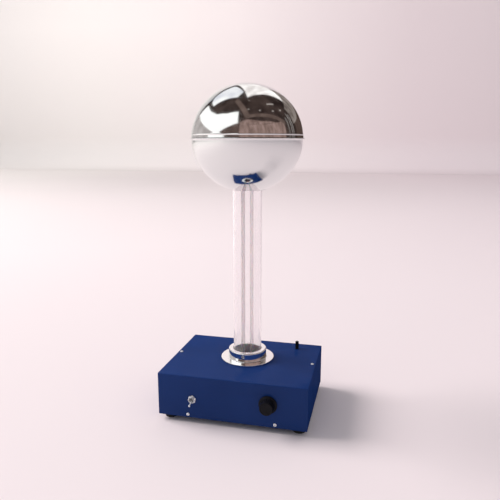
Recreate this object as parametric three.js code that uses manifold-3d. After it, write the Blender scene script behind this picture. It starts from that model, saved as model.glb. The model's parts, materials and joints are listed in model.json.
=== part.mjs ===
// A tabletop Van de Graaff generator: a sheet-metal base with its controls, a clear column with a belt
// driven by a motor in the base, and a polished sphere in two halves, the upper of which lifts off.
// Millimetres, +Z up. The front panel faces -Y, and the floor is at z = 0 under the middle of the outline.
import * as THREE from 'three';
import { mergeVertices } from 'three/addons/utils/BufferGeometryUtils.js';
import Module from 'manifold-3d';

const wasm = await Module();
wasm.setup();

// ---------------------------------------------------------------- driving dimensions

const GAP = 0.3; // between pieces that meet
const SEAT = 0.1; // under a screw head or a nut
const PAST = 1; // how far a cutter runs past the face it opens
const RUNNING = 0.35; // radial clearance round a shaft that turns
const QUARTER = Math.PI / 2;
const FINE = 36; // segments of the pieces that share the column's axis
const ROUND = 20; // segments of mid-sized round pieces
const SMALL = 12; // segments of screws and pins
const HEX = 6;
const SOCKET = 0.6; // of a grub screw's radius
const BEND_STEPS = 3;

const BASE = { width: 260, depth: 194, height: 75.5, frontY: -93, sheet: 1.2, bend: 1.8, lip: 14 };
const FOOT = {
  height: 10, radius: 12.1, foot: 10.8, insetX: 15.7, insetY: 19.4, stem: 2.8, barb: 4, edge: 1.2,
};
const CASE_SCREW = {
  head: 2.9, dome: 2.1, thick: 1.7, shank: 1.5, length: 6, slot: 0.7, reach: 1.9, deep: 0.8,
};
const TOP_SCREW = { inset: 6, y: 6.5 };
const WALL_SCREW = { x: 76.2, above: 5.4 };

const COLUMN = { x: 3, y: 13, tube: 25.4, bore: 23.8, top: 368, opening: 19.5 };
const COLLAR = {
  flange: 48.3, thick: 2.4, edge: 0.5, fillet: 1.2, ring: 34.4, bore: 25.7, height: 18.7, round: 2.2,
  lead: 1.4, screwHeight: 12.6, screw: 2, countersink: 3, boltCircle: 30, bolt: 2, boltDepth: 10,
};
const BOLT_HEAD = { radius: 3.5, thick: 2.6 };

const BELT = { width: 25, thick: 1, inner: 7.3, upper: 386, steps: 10 };
const ROLLER = { radius: 7.05, crown: 0.35, length: 28, bore: 2.35 };
const AXLE = { radius: 2, length: 43 };

const DRIVE_Z = 40; // the motor's axis above the floor
const MOTOR = { radius: 18, wall: 1.5, front: 76, back: 30, boss: 6, bossLength: 4, shaft: 2, cap: 3 };
const ARMATURE = { radius: 13, from: 38, to: 60, commutator: 5.5, from2: 65, to2: 70 };
const SHAFT = { front: 80, back: -27 };
const BRACKET = { sheet: 1.5, width: 40, foot: 16 };
const BEARING = { radius: 6, thick: 5, at: -19.5 };

const LOWER_COMB = { teeth: 8, plate: 17, tooth: 4, sheet: 0.6, clear: 1.5 };
const COMB_BRACKET = { x: 26, wide: 26, thick: 3, foot: 14 };

const YOKE = {
  radius: 28.4, cap: 4, skirt: 12, plug: 23.4, slotX: 13, ear: 3, earInner: 15.5, earWidth: 18, above: 23,
};
const UPPER_COMB = { tooth: 4, sheet: 0.6, clear: 2, top: 1 };

const SPHERE = { radius: 95, half: 91.3, centre: 395.7, wall: 1.2, steps: 6 };
const SEAM = {
  lip: 97.5, lipThick: 1.6, band: 95.8, bandHeight: 6.5, spigot: 92, spigotLow: 9, spigotHigh: 8.4,
};
const NECK = { radius: 25.8, wall: 1.2, curl: 4.5, top: 22, steps: 3 };
const HUB = { outer: 34, height: 12, low: 8 };
const HUB_SCREW = { radius: 1.9, sides: 3 };

const SWITCH = {
  x: -68.2, below: 41.4, bushing: 5.3, bushingOut: 5.4, bodyX: 13, bodyUp: 22, bodyDeep: 18, pivot: 4,
  cavity: 3, mouth: 4.6, nut: 7.2, nutThick: 2.2, tilt: 17.6, ball: 1.9, stem: 1.1, tip: 1.9, reach: 20.5,
};
const SPEED = {
  x: 64.3, below: 34.8, pot: 12, potDeep: 10, bushing: 4.7, bushingOut: 5, nut: 7, nutThick: 2.2,
  shaft: 3, shaftOut: 14, skirt: 15.6, skirtThick: 3, cap: 11.2, out: 18, lift: 1, hollow: 8.4,
  hollowDeep: 7.5, flutes: 12, flute: 1.2, fluteAt: 12,
};
const GROUND = { x: 85.8, y: 73.5, stud: 1.9, studHigh: 12, collar: 3.4, collarHigh: 2, cap: 3.25 };
const GROUND_CAP = {
  height: 13, bore: 2.3, grooves: 8, groove: 0.45, edge: 1, space: 1, head: 4, headThick: 2.6,
};

const INLET = {
  x: -85, z: 47, flangeX: 32, flangeZ: 26, flange: 2.5, bodyX: 27, bodyZ: 19.5, deep: 22, wall: 1.7,
  floor: 3, pinX: 2, pinZ: 4, pinOut: 15, pinTail: 7, spread: 7, rise: 2,
};

const BOARD = {
  x: -70, y: 42, wide: 70, long: 52, thick: 1.6, z: 22, inset: 5, post: 2.6, hole: 1.6, pin: 1.2,
};
const CAPACITOR = { x: -52, y: 30, radius: 8, height: 22 };
const HEAT_SINK = { x: -86, y: 48, wide: 24, long: 16, height: 20, fins: 4, fin: 1.6, plate: 3 };

const baseLow = FOOT.height;
const baseTop = baseLow + BASE.height;
const frontY = BASE.frontY;
const backY = frontY + BASE.depth;
const halfWidth = BASE.width / 2;
const innerFront = frontY + BASE.sheet + GAP;
const innerBack = backY - BASE.sheet - GAP;
const panTop = baseTop - BASE.sheet - GAP;
const floorTop = baseLow + BASE.sheet;

// ---------------------------------------------------------------- materials

function finish(color, roughness, metalness) {
  return new THREE.MeshStandardMaterial({ color, roughness, metalness });
}

const bluePaint = finish(0x1b2f5c, 0.35, 0.2);
const mirrorSteel = finish(0xd9d9dc, 0.05, 1);
const screwSteel = finish(0xc4c4c6, 0.25, 1);
const plainSteel = finish(0x8d8f92, 0.4, 1);
const blackPlastic = finish(0x141416, 0.45, 0);
const blackRubber = finish(0x0c0c0d, 0.8, 0);
const acrylic = finish(0xf4f2f4, 0.03, 0);
acrylic.transparent = true;
acrylic.opacity = 0.25;
const beltRubber = finish(0xd9c9cf, 0.55, 0);
const whitePlastic = finish(0xe4e1dc, 0.4, 0);
const brass = finish(0xb58f4c, 0.3, 1);
const aluminium = finish(0xb9bbbe, 0.35, 1);
const circuitGreen = finish(0x1f5a34, 0.5, 0);

// ---------------------------------------------------------------- solids and placing

function solid(geometry) {
  geometry.deleteAttribute('normal');
  geometry.deleteAttribute('uv');
  const merged = mergeVertices(geometry);
  const corners = merged.index.array;
  const kept = [];
  for (let i = 0; i < corners.length; i += 3) {
    const [a, b, c] = corners.slice(i, i + 3);
    if (a !== b && b !== c && c !== a) {
      kept.push(a, b, c);
    }
  }
  const vertProperties = new Float32Array(merged.attributes.position.array);
  return new wasm.Manifold(new wasm.Mesh({ numProp: 3, vertProperties, triVerts: new Uint32Array(kept) }));
}

function geometryOf(manifold) {
  const mesh = manifold.getMesh();
  const geometry = new THREE.BufferGeometry();
  geometry.setAttribute('position', new THREE.BufferAttribute(mesh.vertProperties, mesh.numProp));
  geometry.setIndex(new THREE.BufferAttribute(mesh.triVerts, 1));
  geometry.computeVertexNormals();
  return geometry;
}

// Adds a named piece to its group.
function addPiece(group, name, shape, material) {
  const mesh = new THREE.Mesh(geometryOf(shape), material);
  mesh.name = name;
  group.add(mesh);
  return mesh;
}

function groupAt(parent, x, y, z) {
  const group = new THREE.Group();
  group.position.set(x, y, z);
  parent.add(group);
  return group;
}

function without(shape, cutters) {
  return cutters.reduce((rest, cutter) => rest.subtract(cutter), shape);
}

function joined(shapes) {
  return shapes.reduce((sum, shape) => sum.add(shape));
}

function ringOf(count, start) {
  return Array.from({ length: count }, (_, i) => start + (i * 2 * Math.PI) / count);
}

function block([x0, x1], [y0, y1], [z0, z1]) {
  const geometry = new THREE.BoxGeometry(x1 - x0, y1 - y0, z1 - z0);
  geometry.translate((x0 + x1) / 2, (y0 + y1) / 2, (z0 + z1) / 2);
  return solid(geometry);
}

// A solid of revolution about +Z. The profile's [radius, height] points run bottom to top on the outside.
function turned(profile, segments) {
  const points = profile.map(([radius, height]) => new THREE.Vector2(radius, height));
  if (points[0].x > 0) {
    points.push(points[0].clone());
  }
  const geometry = new THREE.LatheGeometry(points, segments);
  geometry.rotateX(QUARTER);
  return solid(geometry);
}

function ring(inner, outer, low, high, segments) {
  return turned([[inner, low], [outer, low], [outer, high], [inner, high]], segments);
}

function rod(radius, low, high, segments) {
  return turned([[0, low], [radius, low], [radius, high], [0, high]], segments);
}

// A rod between heights low and high of +Z, moved to x, y.
function rodAt(x, y, radius, low, high, segments) {
  return rod(radius, low, high, segments).translate([x, y, 0]);
}

// An extruded outline: its x and y run along the axes across and up, and it is centred on the third.
function extruded(shape, length, across, up) {
  const options = { depth: length, bevelEnabled: false, curveSegments: BEND_STEPS };
  const geometry = new THREE.ExtrudeGeometry(shape, options);
  geometry.translate(0, 0, -length / 2);
  const along = new THREE.Vector3().crossVectors(across, up);
  geometry.applyMatrix4(new THREE.Matrix4().makeBasis(across, up, along));
  return solid(geometry);
}

const X = new THREE.Vector3(1, 0, 0);
const Y = new THREE.Vector3(0, 1, 0);
const Z = new THREE.Vector3(0, 0, 1);

function outline(points) {
  return new THREE.Shape(points.map(([x, y]) => new THREE.Vector2(x, y)));
}

// Points of a quarter or other arc, for a profile.
function arc(cx, cy, rx, ry, from, to, steps) {
  return Array.from({ length: steps + 1 }, (_, i) => {
    const angle = from + ((to - from) * i) / steps;
    return [cx + rx * Math.cos(angle), cy + ry * Math.sin(angle)];
  });
}

// ---------------------------------------------------------------- base: cover, pan, feet, screws

const generator = new THREE.Group();
const wallScrews = [-WALL_SCREW.x, WALL_SCREW.x];
const wallScrewZ = baseLow + WALL_SCREW.above;
const topScrews = [-(halfWidth - TOP_SCREW.inset), halfWidth - TOP_SCREW.inset];

// Front, top and back in one bent sheet, open underneath.
function coverSheet() {
  const { sheet, bend } = BASE;
  const inside = bend - sheet;
  const shape = new THREE.Shape();
  shape.moveTo(frontY, baseLow);
  shape.lineTo(frontY, baseTop - bend);
  shape.absarc(frontY + bend, baseTop - bend, bend, Math.PI, QUARTER, true);
  shape.lineTo(backY - bend, baseTop);
  shape.absarc(backY - bend, baseTop - bend, bend, QUARTER, 0, true);
  shape.lineTo(backY, baseLow);
  shape.lineTo(backY - sheet, baseLow);
  shape.lineTo(backY - sheet, baseTop - bend);
  shape.absarc(backY - bend, baseTop - bend, inside, 0, QUARTER, false);
  shape.lineTo(frontY + bend, baseTop - sheet);
  shape.absarc(frontY + bend, baseTop - bend, inside, QUARTER, Math.PI, false);
  shape.lineTo(frontY + sheet, baseLow);
  return extruded(shape, BASE.width, Y, Z);
}

// A hole through the front or the back wall.
function wallHole(x, z, y, radius) {
  const deep = BASE.sheet * 4;
  return rod(radius, -deep, deep, SMALL).rotate([90, 0, 0]).translate([x, y, z]);
}

function topHole(x, y, radius, segments) {
  return rodAt(x, y, radius, panTop - PAST - BASE.sheet, baseTop + PAST, segments);
}

const boltAngles = ringOf(3, QUARTER);

function boltPoint(angle) {
  return [COLUMN.x + COLLAR.boltCircle * Math.cos(angle), COLUMN.y + COLLAR.boltCircle * Math.sin(angle)];
}

function cover() {
  const holes = [topHole(COLUMN.x, COLUMN.y, COLUMN.opening, FINE)];
  boltAngles.forEach((angle) => holes.push(topHole(...boltPoint(angle), COLLAR.bolt + GAP, SMALL)));
  topScrews.forEach((x) => holes.push(topHole(x, TOP_SCREW.y, CASE_SCREW.shank + GAP, SMALL)));
  holes.push(topHole(GROUND.x, GROUND.y, GROUND.stud + 2 * GAP, SMALL));
  wallScrews.forEach((x) => {
    holes.push(wallHole(x, wallScrewZ, frontY, CASE_SCREW.shank + GAP));
    holes.push(wallHole(x, wallScrewZ, backY, CASE_SCREW.shank + GAP));
  });
  holes.push(wallHole(SWITCH.x, baseTop - SWITCH.below, frontY, SWITCH.bushing + GAP));
  holes.push(wallHole(SPEED.x, baseTop - SPEED.below, frontY, SPEED.bushing + GAP));
  const [inletX, inletZ] = [INLET.bodyX / 2 + GAP, INLET.bodyZ / 2 + GAP];
  const acrossInlet = [INLET.x - inletX, INLET.x + inletX];
  holes.push(block(acrossInlet, [backY - BASE.bend, backY + PAST], [INLET.z - inletZ, INLET.z + inletZ]));
  return without(coverSheet(), holes);
}

// Bottom and both sides in one bent sheet, with lips turned in under the cover's top.
function panSheet() {
  const { sheet, bend, lip } = BASE;
  const inside = bend - sheet;
  const side = halfWidth;
  const shape = new THREE.Shape();
  shape.moveTo(side - lip, panTop);
  shape.lineTo(side - lip, panTop - sheet);
  shape.lineTo(side - bend, panTop - sheet);
  shape.absarc(side - bend, panTop - bend, inside, QUARTER, 0, true);
  shape.lineTo(side - sheet, baseLow + bend);
  shape.absarc(side - bend, baseLow + bend, inside, 0, -QUARTER, true);
  shape.lineTo(bend - side, floorTop);
  shape.absarc(bend - side, baseLow + bend, inside, -QUARTER, -Math.PI, true);
  shape.lineTo(sheet - side, panTop - bend);
  shape.absarc(bend - side, panTop - bend, inside, Math.PI, QUARTER, true);
  shape.lineTo(lip - side, panTop - sheet);
  shape.lineTo(lip - side, panTop);
  shape.lineTo(bend - side, panTop);
  shape.absarc(bend - side, panTop - bend, bend, QUARTER, Math.PI, false);
  shape.lineTo(-side, baseLow + bend);
  shape.absarc(bend - side, baseLow + bend, bend, Math.PI, 3 * QUARTER, false);
  shape.lineTo(side - bend, baseLow);
  shape.absarc(side - bend, baseLow + bend, bend, -QUARTER, 0, false);
  shape.lineTo(side, panTop - bend);
  shape.absarc(side - bend, panTop - bend, bend, 0, QUARTER, false);
  return extruded(shape, innerBack - innerFront, X, Z).translate([0, (innerFront + innerBack) / 2, 0]);
}

const footPoints = [
  ['front_left', -(halfWidth - FOOT.insetX), frontY + FOOT.insetY],
  ['front_right', halfWidth - FOOT.insetX, frontY + FOOT.insetY],
  ['rear_left', -(halfWidth - FOOT.insetX), backY - FOOT.insetY],
  ['rear_right', halfWidth - FOOT.insetX, backY - FOOT.insetY],
];

const boardPosts = [-1, 1].flatMap((sx) => [-1, 1].map((sy) => [
  BOARD.x + sx * (BOARD.wide / 2 - BOARD.inset),
  BOARD.y + sy * (BOARD.long / 2 - BOARD.inset),
]));

function pan() {
  const lip = [-(halfWidth - BASE.lip), halfWidth - BASE.lip];
  const up = [baseLow, baseLow + BASE.lip];
  const sheets = [
    panSheet(),
    block(lip, [innerFront, innerFront + BASE.sheet], up),
    block(lip, [innerBack - BASE.sheet, innerBack], up),
  ];
  const floorHole = (x, y, radius) => rodAt(x, y, radius, baseLow - PAST, floorTop + PAST, SMALL);
  const holes = footPoints.map(([, x, y]) => floorHole(x, y, FOOT.stem + GAP));
  wallScrews.forEach((x) => {
    holes.push(wallHole(x, wallScrewZ, innerFront, CASE_SCREW.shank + GAP));
    holes.push(wallHole(x, wallScrewZ, innerBack, CASE_SCREW.shank + GAP));
  });
  topScrews.forEach((x) => holes.push(topHole(x, TOP_SCREW.y, CASE_SCREW.shank + GAP, SMALL)));
  return without(joined(sheets), holes);
}

// A rubber foot with a stem that snaps through the floor of the pan.
function foot() {
  const under = FOOT.height - GAP;
  const clip = floorTop - baseLow + FOOT.height + GAP;
  return turned([
    [0, 0], [FOOT.foot - FOOT.edge, 0], [FOOT.foot, FOOT.edge], [FOOT.radius, under - FOOT.edge],
    [FOOT.radius - FOOT.edge / 2, under], [FOOT.stem, under], [FOOT.stem, clip], [FOOT.barb, clip + GAP],
    [FOOT.stem - GAP, clip + FOOT.edge * 2], [0, clip + FOOT.edge * 2],
  ], ROUND);
}

// A pan-head screw with a cross recess: its head stands on z = 0 and its shank runs down.
function caseScrew() {
  const { head, dome, thick, shank, length, slot, reach, deep } = CASE_SCREW;
  const body = turned([
    [0, -length], [shank - GAP, -length], [shank, GAP - length], [shank, SEAT], [head, SEAT],
    [head, thick / 2], [dome, thick], [0, thick],
  ], SMALL);
  const depth = [thick - deep, thick + PAST];
  const cross = [
    block([-reach, reach], [-slot / 2, slot / 2], depth),
    block([-slot / 2, slot / 2], [-reach, reach], depth),
  ];
  return without(body, cross);
}

function addBase() {
  const base = groupAt(generator, 0, 0, 0);
  addPiece(base, 'base_cover', cover(), bluePaint);
  addPiece(base, 'base_pan', pan(), bluePaint);
  footPoints.forEach(([where, x, y]) => {
    addPiece(groupAt(base, x, y, 0), `foot_${where}`, foot(), blackRubber);
  });
  topScrews.forEach((x, i) => {
    addPiece(groupAt(base, x, TOP_SCREW.y, baseTop), `top_screw_${i + 1}`, caseScrew(), screwSteel);
  });
  wallScrews.forEach((x, i) => {
    const front = groupAt(base, x, frontY, wallScrewZ);
    front.rotation.x = QUARTER;
    addPiece(front, `front_screw_${i + 1}`, caseScrew(), screwSteel);
    const rear = groupAt(base, x, backY, wallScrewZ);
    rear.rotation.x = -QUARTER;
    addPiece(rear, `rear_screw_${i + 1}`, caseScrew(), screwSteel);
  });
}

// ---------------------------------------------------------------- column: collar, tube, belt

function collarRing() {
  const { flange, thick, edge, fillet, ring: outer, bore, height, round, lead } = COLLAR;
  return turned([
    [bore, 0], [flange - edge, 0], [flange, edge], [flange, thick - edge], [flange - edge, thick],
    ...arc(outer + fillet, thick + fillet, fillet, fillet, -QUARTER, -Math.PI, BEND_STEPS),
    ...arc(outer - round, height - round, round, round, 0, QUARTER, BEND_STEPS),
    ...arc(bore + lead, height - lead, lead, lead, QUARTER, Math.PI, BEND_STEPS),
  ], FINE);
}

function radial(shape, height) {
  return shape.rotate([90, 0, 0]).translate([0, 0, height]);
}

function collar() {
  const { ring: outer, bore, screw, countersink, screwHeight, boltCircle, bolt, boltDepth } = COLLAR;
  const rim = countersink - screw;
  const hole = radial(rod(screw + GAP, bore - PAST, outer + PAST, SMALL), screwHeight);
  const mouth = turned([[0, outer - rim - PAST], [screw - PAST, outer - rim - PAST],
    [countersink + PAST, outer + PAST], [0, outer + PAST]], SMALL);
  const bolts = boltAngles.map((angle) => rodAt(
    boltCircle * Math.cos(angle), boltCircle * Math.sin(angle), bolt + GAP, -PAST, boltDepth, SMALL));
  return without(collarRing(), [hole, radial(mouth, screwHeight), ...bolts]);
}

// A headless screw with a hex socket: it lies along +Z from low to high.
function grubScrew(radius, low, high) {
  const socket = rod(radius * SOCKET, high - radius, high + PAST, HEX);
  return without(rod(radius, low, high, SMALL), [socket]);
}

// A hex-head bolt that points up, with its head's top at z = 0.
function upwardBolt(shank, length) {
  return joined([
    rod(shank, -SEAT, length, SMALL),
    rod(BOLT_HEAD.radius, -SEAT - BOLT_HEAD.thick, -SEAT, HEX),
  ]);
}

// A loop round both rollers, extruded along the rollers' axes.
function belt() {
  const { inner, thick, width, upper, steps } = BELT;
  const low = DRIVE_Z - baseTop;
  const loop = (radius) => [
    ...arc(0, low, radius, radius, Math.PI, 2 * Math.PI, steps),
    ...arc(0, upper, radius, radius, 0, Math.PI, steps),
  ];
  const shape = outline(loop(inner + thick));
  shape.holes.push(new THREE.Path(loop(inner).map(([x, y]) => new THREE.Vector2(x, y))));
  return extruded(shape, width, X, Z);
}

function addColumn() {
  const column = groupAt(generator, COLUMN.x, COLUMN.y, baseTop);
  const standing = groupAt(column, 0, 0, GAP);
  addPiece(standing, 'column_collar', collar(), mirrorSteel);
  const screw = radial(grubScrew(COLLAR.screw, COLLAR.bore + GAP, COLLAR.ring - GAP), COLLAR.screwHeight);
  addPiece(standing, 'collar_set_screw', screw, screwSteel);
  addPiece(standing, 'column_tube', ring(COLUMN.bore, COLUMN.tube, 0, COLUMN.top, FINE), acrylic);
  boltAngles.forEach((angle, i) => {
    const [x, y] = boltPoint(angle);
    const bolt = groupAt(generator, x, y, baseTop - BASE.sheet);
    addPiece(bolt, `collar_bolt_${i + 1}`, upwardBolt(COLLAR.bolt, COLLAR.boltDepth - PAST), screwSteel);
  });
  addPiece(column, 'drive_belt', belt(), beltRubber);
  return column;
}

// ---------------------------------------------------------------- drive: motor, rollers, brackets, comb

// Local +Z runs forwards along the motor's axis, towards the front panel.
function driveGroup() {
  const drive = groupAt(generator, COLUMN.x, COLUMN.y, DRIVE_Z);
  drive.rotation.x = QUARTER;
  return drive;
}

function motorCan() {
  const { radius, wall, front, back, boss, bossLength, shaft } = MOTOR;
  const neck = shaft + RUNNING;
  return turned([
    [neck, back - bossLength], [boss, back - bossLength], [boss, back], [radius, back], [radius, front],
    [radius - wall, front], [radius - wall, back + wall], [neck, back + wall],
  ], ROUND);
}

function motorEndCap() {
  const { radius, wall, front, cap, shaft, boss } = MOTOR;
  const plug = radius - wall - GAP;
  const neck = shaft + RUNNING;
  return turned([
    [neck, front - cap], [plug, front - cap], [plug, front + GAP], [radius, front + GAP],
    [radius, front + cap], [boss, front + cap], [neck, front + cap],
  ], ROUND);
}

// Shaft, armature and commutator in one piece.
function motorRotor() {
  const { radius, from, to, commutator, from2, to2 } = ARMATURE;
  const { shaft } = MOTOR;
  return turned([
    [0, SHAFT.back], [shaft, SHAFT.back], [shaft, from], [radius, from], [radius, to], [shaft, to],
    [shaft, from2], [commutator, from2], [commutator, to2], [shaft, to2], [shaft, SHAFT.front],
    [0, SHAFT.front],
  ], SMALL);
}

// A roller that is fatter in the middle, which keeps the belt on it.
function roller() {
  const { radius, crown, length, bore } = ROLLER;
  const half = length / 2;
  return turned([
    [bore, -half], [radius - crown, -half], [radius, 0], [radius - crown, half], [bore, half],
  ], ROUND);
}

// An upright plate whose front face is at a given place on the axis, with a hole for what it holds. Its
// foot is turned backwards and spot-welded to the pan's floor.
function shaftBracket(at, holeRadius) {
  const { sheet, width, foot: reach } = BRACKET;
  const half = width / 2;
  const low = floorTop + GAP - DRIVE_Z;
  const plate = block([-half, half], [low, half], [at - sheet, at]);
  const welded = block([-half, half], [low, low + sheet], [at - reach, at]);
  const hole = rod(holeRadius, at - sheet - PAST, at + PAST, ROUND);
  return without(joined([plate, welded]), [hole]);
}

// A strip with a row of points along one edge. It lies in the plane z = 0 and points along +X.
function comb(plate, tooth, sheet, wide) {
  const step = wide / LOWER_COMB.teeth;
  const points = [[-plate, -wide / 2], [0, -wide / 2]];
  for (let i = 0; i < LOWER_COMB.teeth; i += 1) {
    const low = i * step - wide / 2;
    points.push([tooth, low + step / 2]);
    points.push([0, low + step]);
  }
  points.push([-plate, wide / 2]);
  return extruded(outline(points), sheet, X, Y);
}

function addDrive() {
  const drive = driveGroup();
  addPiece(drive, 'motor_can', motorCan(), plainSteel);
  addPiece(drive, 'motor_end_cap', motorEndCap(), blackPlastic);
  addPiece(drive, 'motor_rotor', motorRotor(), plainSteel);
  addPiece(drive, 'lower_roller', roller(), whitePlastic);
  const motorFace = MOTOR.back - GAP;
  addPiece(drive, 'motor_bracket', shaftBracket(motorFace, MOTOR.boss + GAP), aluminium);
  const reachOut = BEARING.thick / 2;
  const bushing = ring(
    MOTOR.shaft + RUNNING, BEARING.radius, BEARING.at - reachOut, BEARING.at + reachOut, ROUND);
  addPiece(drive, 'lower_bearing', bushing, brass);
  addPiece(drive, 'bearing_bracket', shaftBracket(BEARING.at, BEARING.radius + GAP), aluminium);

  const combBase = groupAt(generator, COLUMN.x + COMB_BRACKET.x, COLUMN.y, 0);
  const half = COMB_BRACKET.wide / 2;
  const post = joined([
    block([0, COMB_BRACKET.thick], [-half, half], [floorTop + GAP, DRIVE_Z - GAP]),
    block([0, COMB_BRACKET.foot], [-half, half], [floorTop + GAP, floorTop + GAP + COMB_BRACKET.thick]),
  ]);
  addPiece(combBase, 'lower_comb_bracket', post, blackPlastic);
  const pointed = groupAt(generator, COLUMN.x, COLUMN.y, DRIVE_Z + LOWER_COMB.sheet / 2);
  pointed.rotation.z = Math.PI;
  const reach = BELT.inner + BELT.thick + LOWER_COMB.clear + LOWER_COMB.tooth;
  const strip = comb(LOWER_COMB.plate, LOWER_COMB.tooth, LOWER_COMB.sheet, BELT.width);
  addPiece(pointed, 'lower_comb', strip.translate([-reach, 0, 0]), brass);
}

// ---------------------------------------------------------------- head: yoke, axle, roller, comb

function addHead(column) {
  const { radius, cap, skirt, ear, earInner, earWidth, above, slotX, plug } = YOKE;
  const tubeTop = COLUMN.top + GAP;
  const low = tubeTop + GAP;
  const axleZ = BELT.upper;
  const earTop = axleZ + above;
  const body = joined([
    rod(radius, low, low + cap, FINE),
    ring(plug - ear, plug, tubeTop - skirt, low + cap, FINE),
    block([-earWidth / 2, earWidth / 2], [-earInner - ear, -earInner], [low, earTop]),
    block([-earWidth / 2, earWidth / 2], [earInner, earInner + ear], [low, earTop]),
  ]);
  const between = earInner - GAP;
  const slot = block([-slotX, slotX], [-between, between], [tubeTop - skirt - PAST, earTop]);
  const axleHole = radial(rod(AXLE.radius + GAP, -radius, radius, SMALL), axleZ);
  addPiece(column, 'upper_yoke', without(body, [slot, axleHole]), whitePlastic);

  const turning = groupAt(column, 0, 0, axleZ);
  turning.rotation.x = QUARTER;
  addPiece(turning, 'upper_axle', rod(AXLE.radius, -AXLE.length / 2, AXLE.length / 2, SMALL), plainSteel);
  addPiece(turning, 'upper_roller', roller(), aluminium);

  // A toothed strip that points down at the belt, under a plate that lies across both ears.
  const combTop = groupAt(column, 0, 0, earTop + SEAT);
  const toothTips = above + SEAT - BELT.inner - BELT.thick - UPPER_COMB.clear;
  const plate = toothTips - UPPER_COMB.tooth;
  const strip = comb(plate, UPPER_COMB.tooth, UPPER_COMB.sheet, BELT.width);
  const hanging = strip.translate([plate, 0, 0]).rotate([0, 90, 0]);
  const outerEar = earInner + ear;
  const across = block([-earWidth / 2, earWidth / 2], [-outerEar, outerEar], [0, UPPER_COMB.top]);
  addPiece(combTop, 'upper_comb', joined([hanging, across]), brass);
}

// ---------------------------------------------------------------- sphere: hub, halves, joint ring

// The sphere is drawn about its own centre, on the equator plane.
function lowerDome() {
  const { radius, half, wall, steps } = SPHERE;
  const { curl, top, radius: neck, wall: neckWall, steps: curlSteps } = NECK;
  const neckMid = neck + neckWall / 2;
  const startAngle = -Math.acos((neckMid + curl) / radius);
  const lowest = half * Math.sin(startAngle) + curl;
  const endAngle = Math.atan2(-SEAM.lipThick, radius);
  const outside = arc(0, 0, radius, half, startAngle, endAngle, steps);
  const inside = arc(0, 0, radius - wall, half - wall, endAngle, startAngle, steps);
  const down = Math.PI + QUARTER;
  const big = curl + wall / 2;
  const small = curl - wall / 2;
  const curlOut = arc(neckMid + curl, lowest, big, big, Math.PI, down, curlSteps);
  const curlIn = arc(neckMid + curl, lowest, small, small, down, Math.PI, curlSteps);
  return turned([
    [neck, lowest + top], ...curlOut, ...outside.slice(1), [SEAM.lip, -SEAM.lipThick], [SEAM.lip, 0],
    [radius - wall, 0], ...inside.slice(1, -1), ...curlIn, [neck + neckWall, lowest + top],
  ], FINE);
}

function upperDome() {
  const { radius, half, wall, steps } = SPHERE;
  const { band, bandHeight } = SEAM;
  const shoulder = Math.asin(bandHeight / half);
  const outside = arc(0, 0, radius, half, shoulder, QUARTER, steps);
  const inside = arc(0, 0, radius - wall, half - wall, QUARTER, shoulder, steps);
  return turned([
    ...inside.map(([r, h]) => [Math.max(r, 0), h]), [band - wall, bandHeight - wall], [band - wall, GAP],
    [band, GAP], [band, bandHeight], ...outside.map(([r, h]) => [r < SEAT ? 0 : r, h]),
  ], FINE);
}

function addSphere(column) {
  const sphere = groupAt(column, 0, 0, SPHERE.centre);
  addPiece(sphere, 'lower_dome', lowerDome(), mirrorSteel);
  addPiece(sphere, 'upper_dome', upperDome(), mirrorSteel);
  const spigot = ring(SEAM.spigot - SPHERE.wall, SEAM.spigot, -SEAM.spigotLow, SEAM.spigotHigh, FINE);
  addPiece(sphere, 'joint_ring', spigot, aluminium);
  addHub(sphere);
}

// A clamp ring round the lower half's neck, which three grub screws tighten on to the tube.
function addHub(sphere) {
  const { outer, height, low } = HUB;
  const curlShare = (NECK.radius + NECK.curl) / SPHERE.radius;
  const neckLow = NECK.curl - SPHERE.half * Math.sqrt(1 - curlShare ** 2);
  const bottom = neckLow + low;
  const inner = NECK.radius + NECK.wall + GAP;
  const middle = bottom + height / 2;
  const screws = ringOf(HUB_SCREW.sides, -QUARTER);
  const around = (shape, angle) => {
    const turn = ((angle + QUARTER) * 180) / Math.PI;
    return radial(shape, middle).rotate([0, 0, turn]);
  };
  const through = rod(HUB_SCREW.radius + GAP, inner - PAST, outer + PAST, SMALL);
  const holes = screws.map((angle) => around(through, angle));
  const clamp = ring(inner, outer, bottom, bottom + height, FINE);
  addPiece(sphere, 'sphere_hub', without(clamp, holes), aluminium);
  screws.forEach((angle, i) => {
    const screw = around(grubScrew(HUB_SCREW.radius, inner + GAP, outer + GAP), angle);
    addPiece(sphere, `hub_screw_${i + 1}`, screw, screwSteel);
  });
}

// ---------------------------------------------------------------- controls on the front panel

// Local +Z points out of the front panel and local +Y points up.
function frontGroup(x, below) {
  const group = groupAt(generator, x, frontY, baseTop - below);
  group.rotation.x = QUARTER;
  return group;
}

// A nut from its radius across the corners and its bore.
function hexNut(corner, bore, low, thick) {
  return without(rod(corner, low, low + thick, HEX), [rod(bore, low - PAST, low + thick + PAST, ROUND)]);
}

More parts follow.
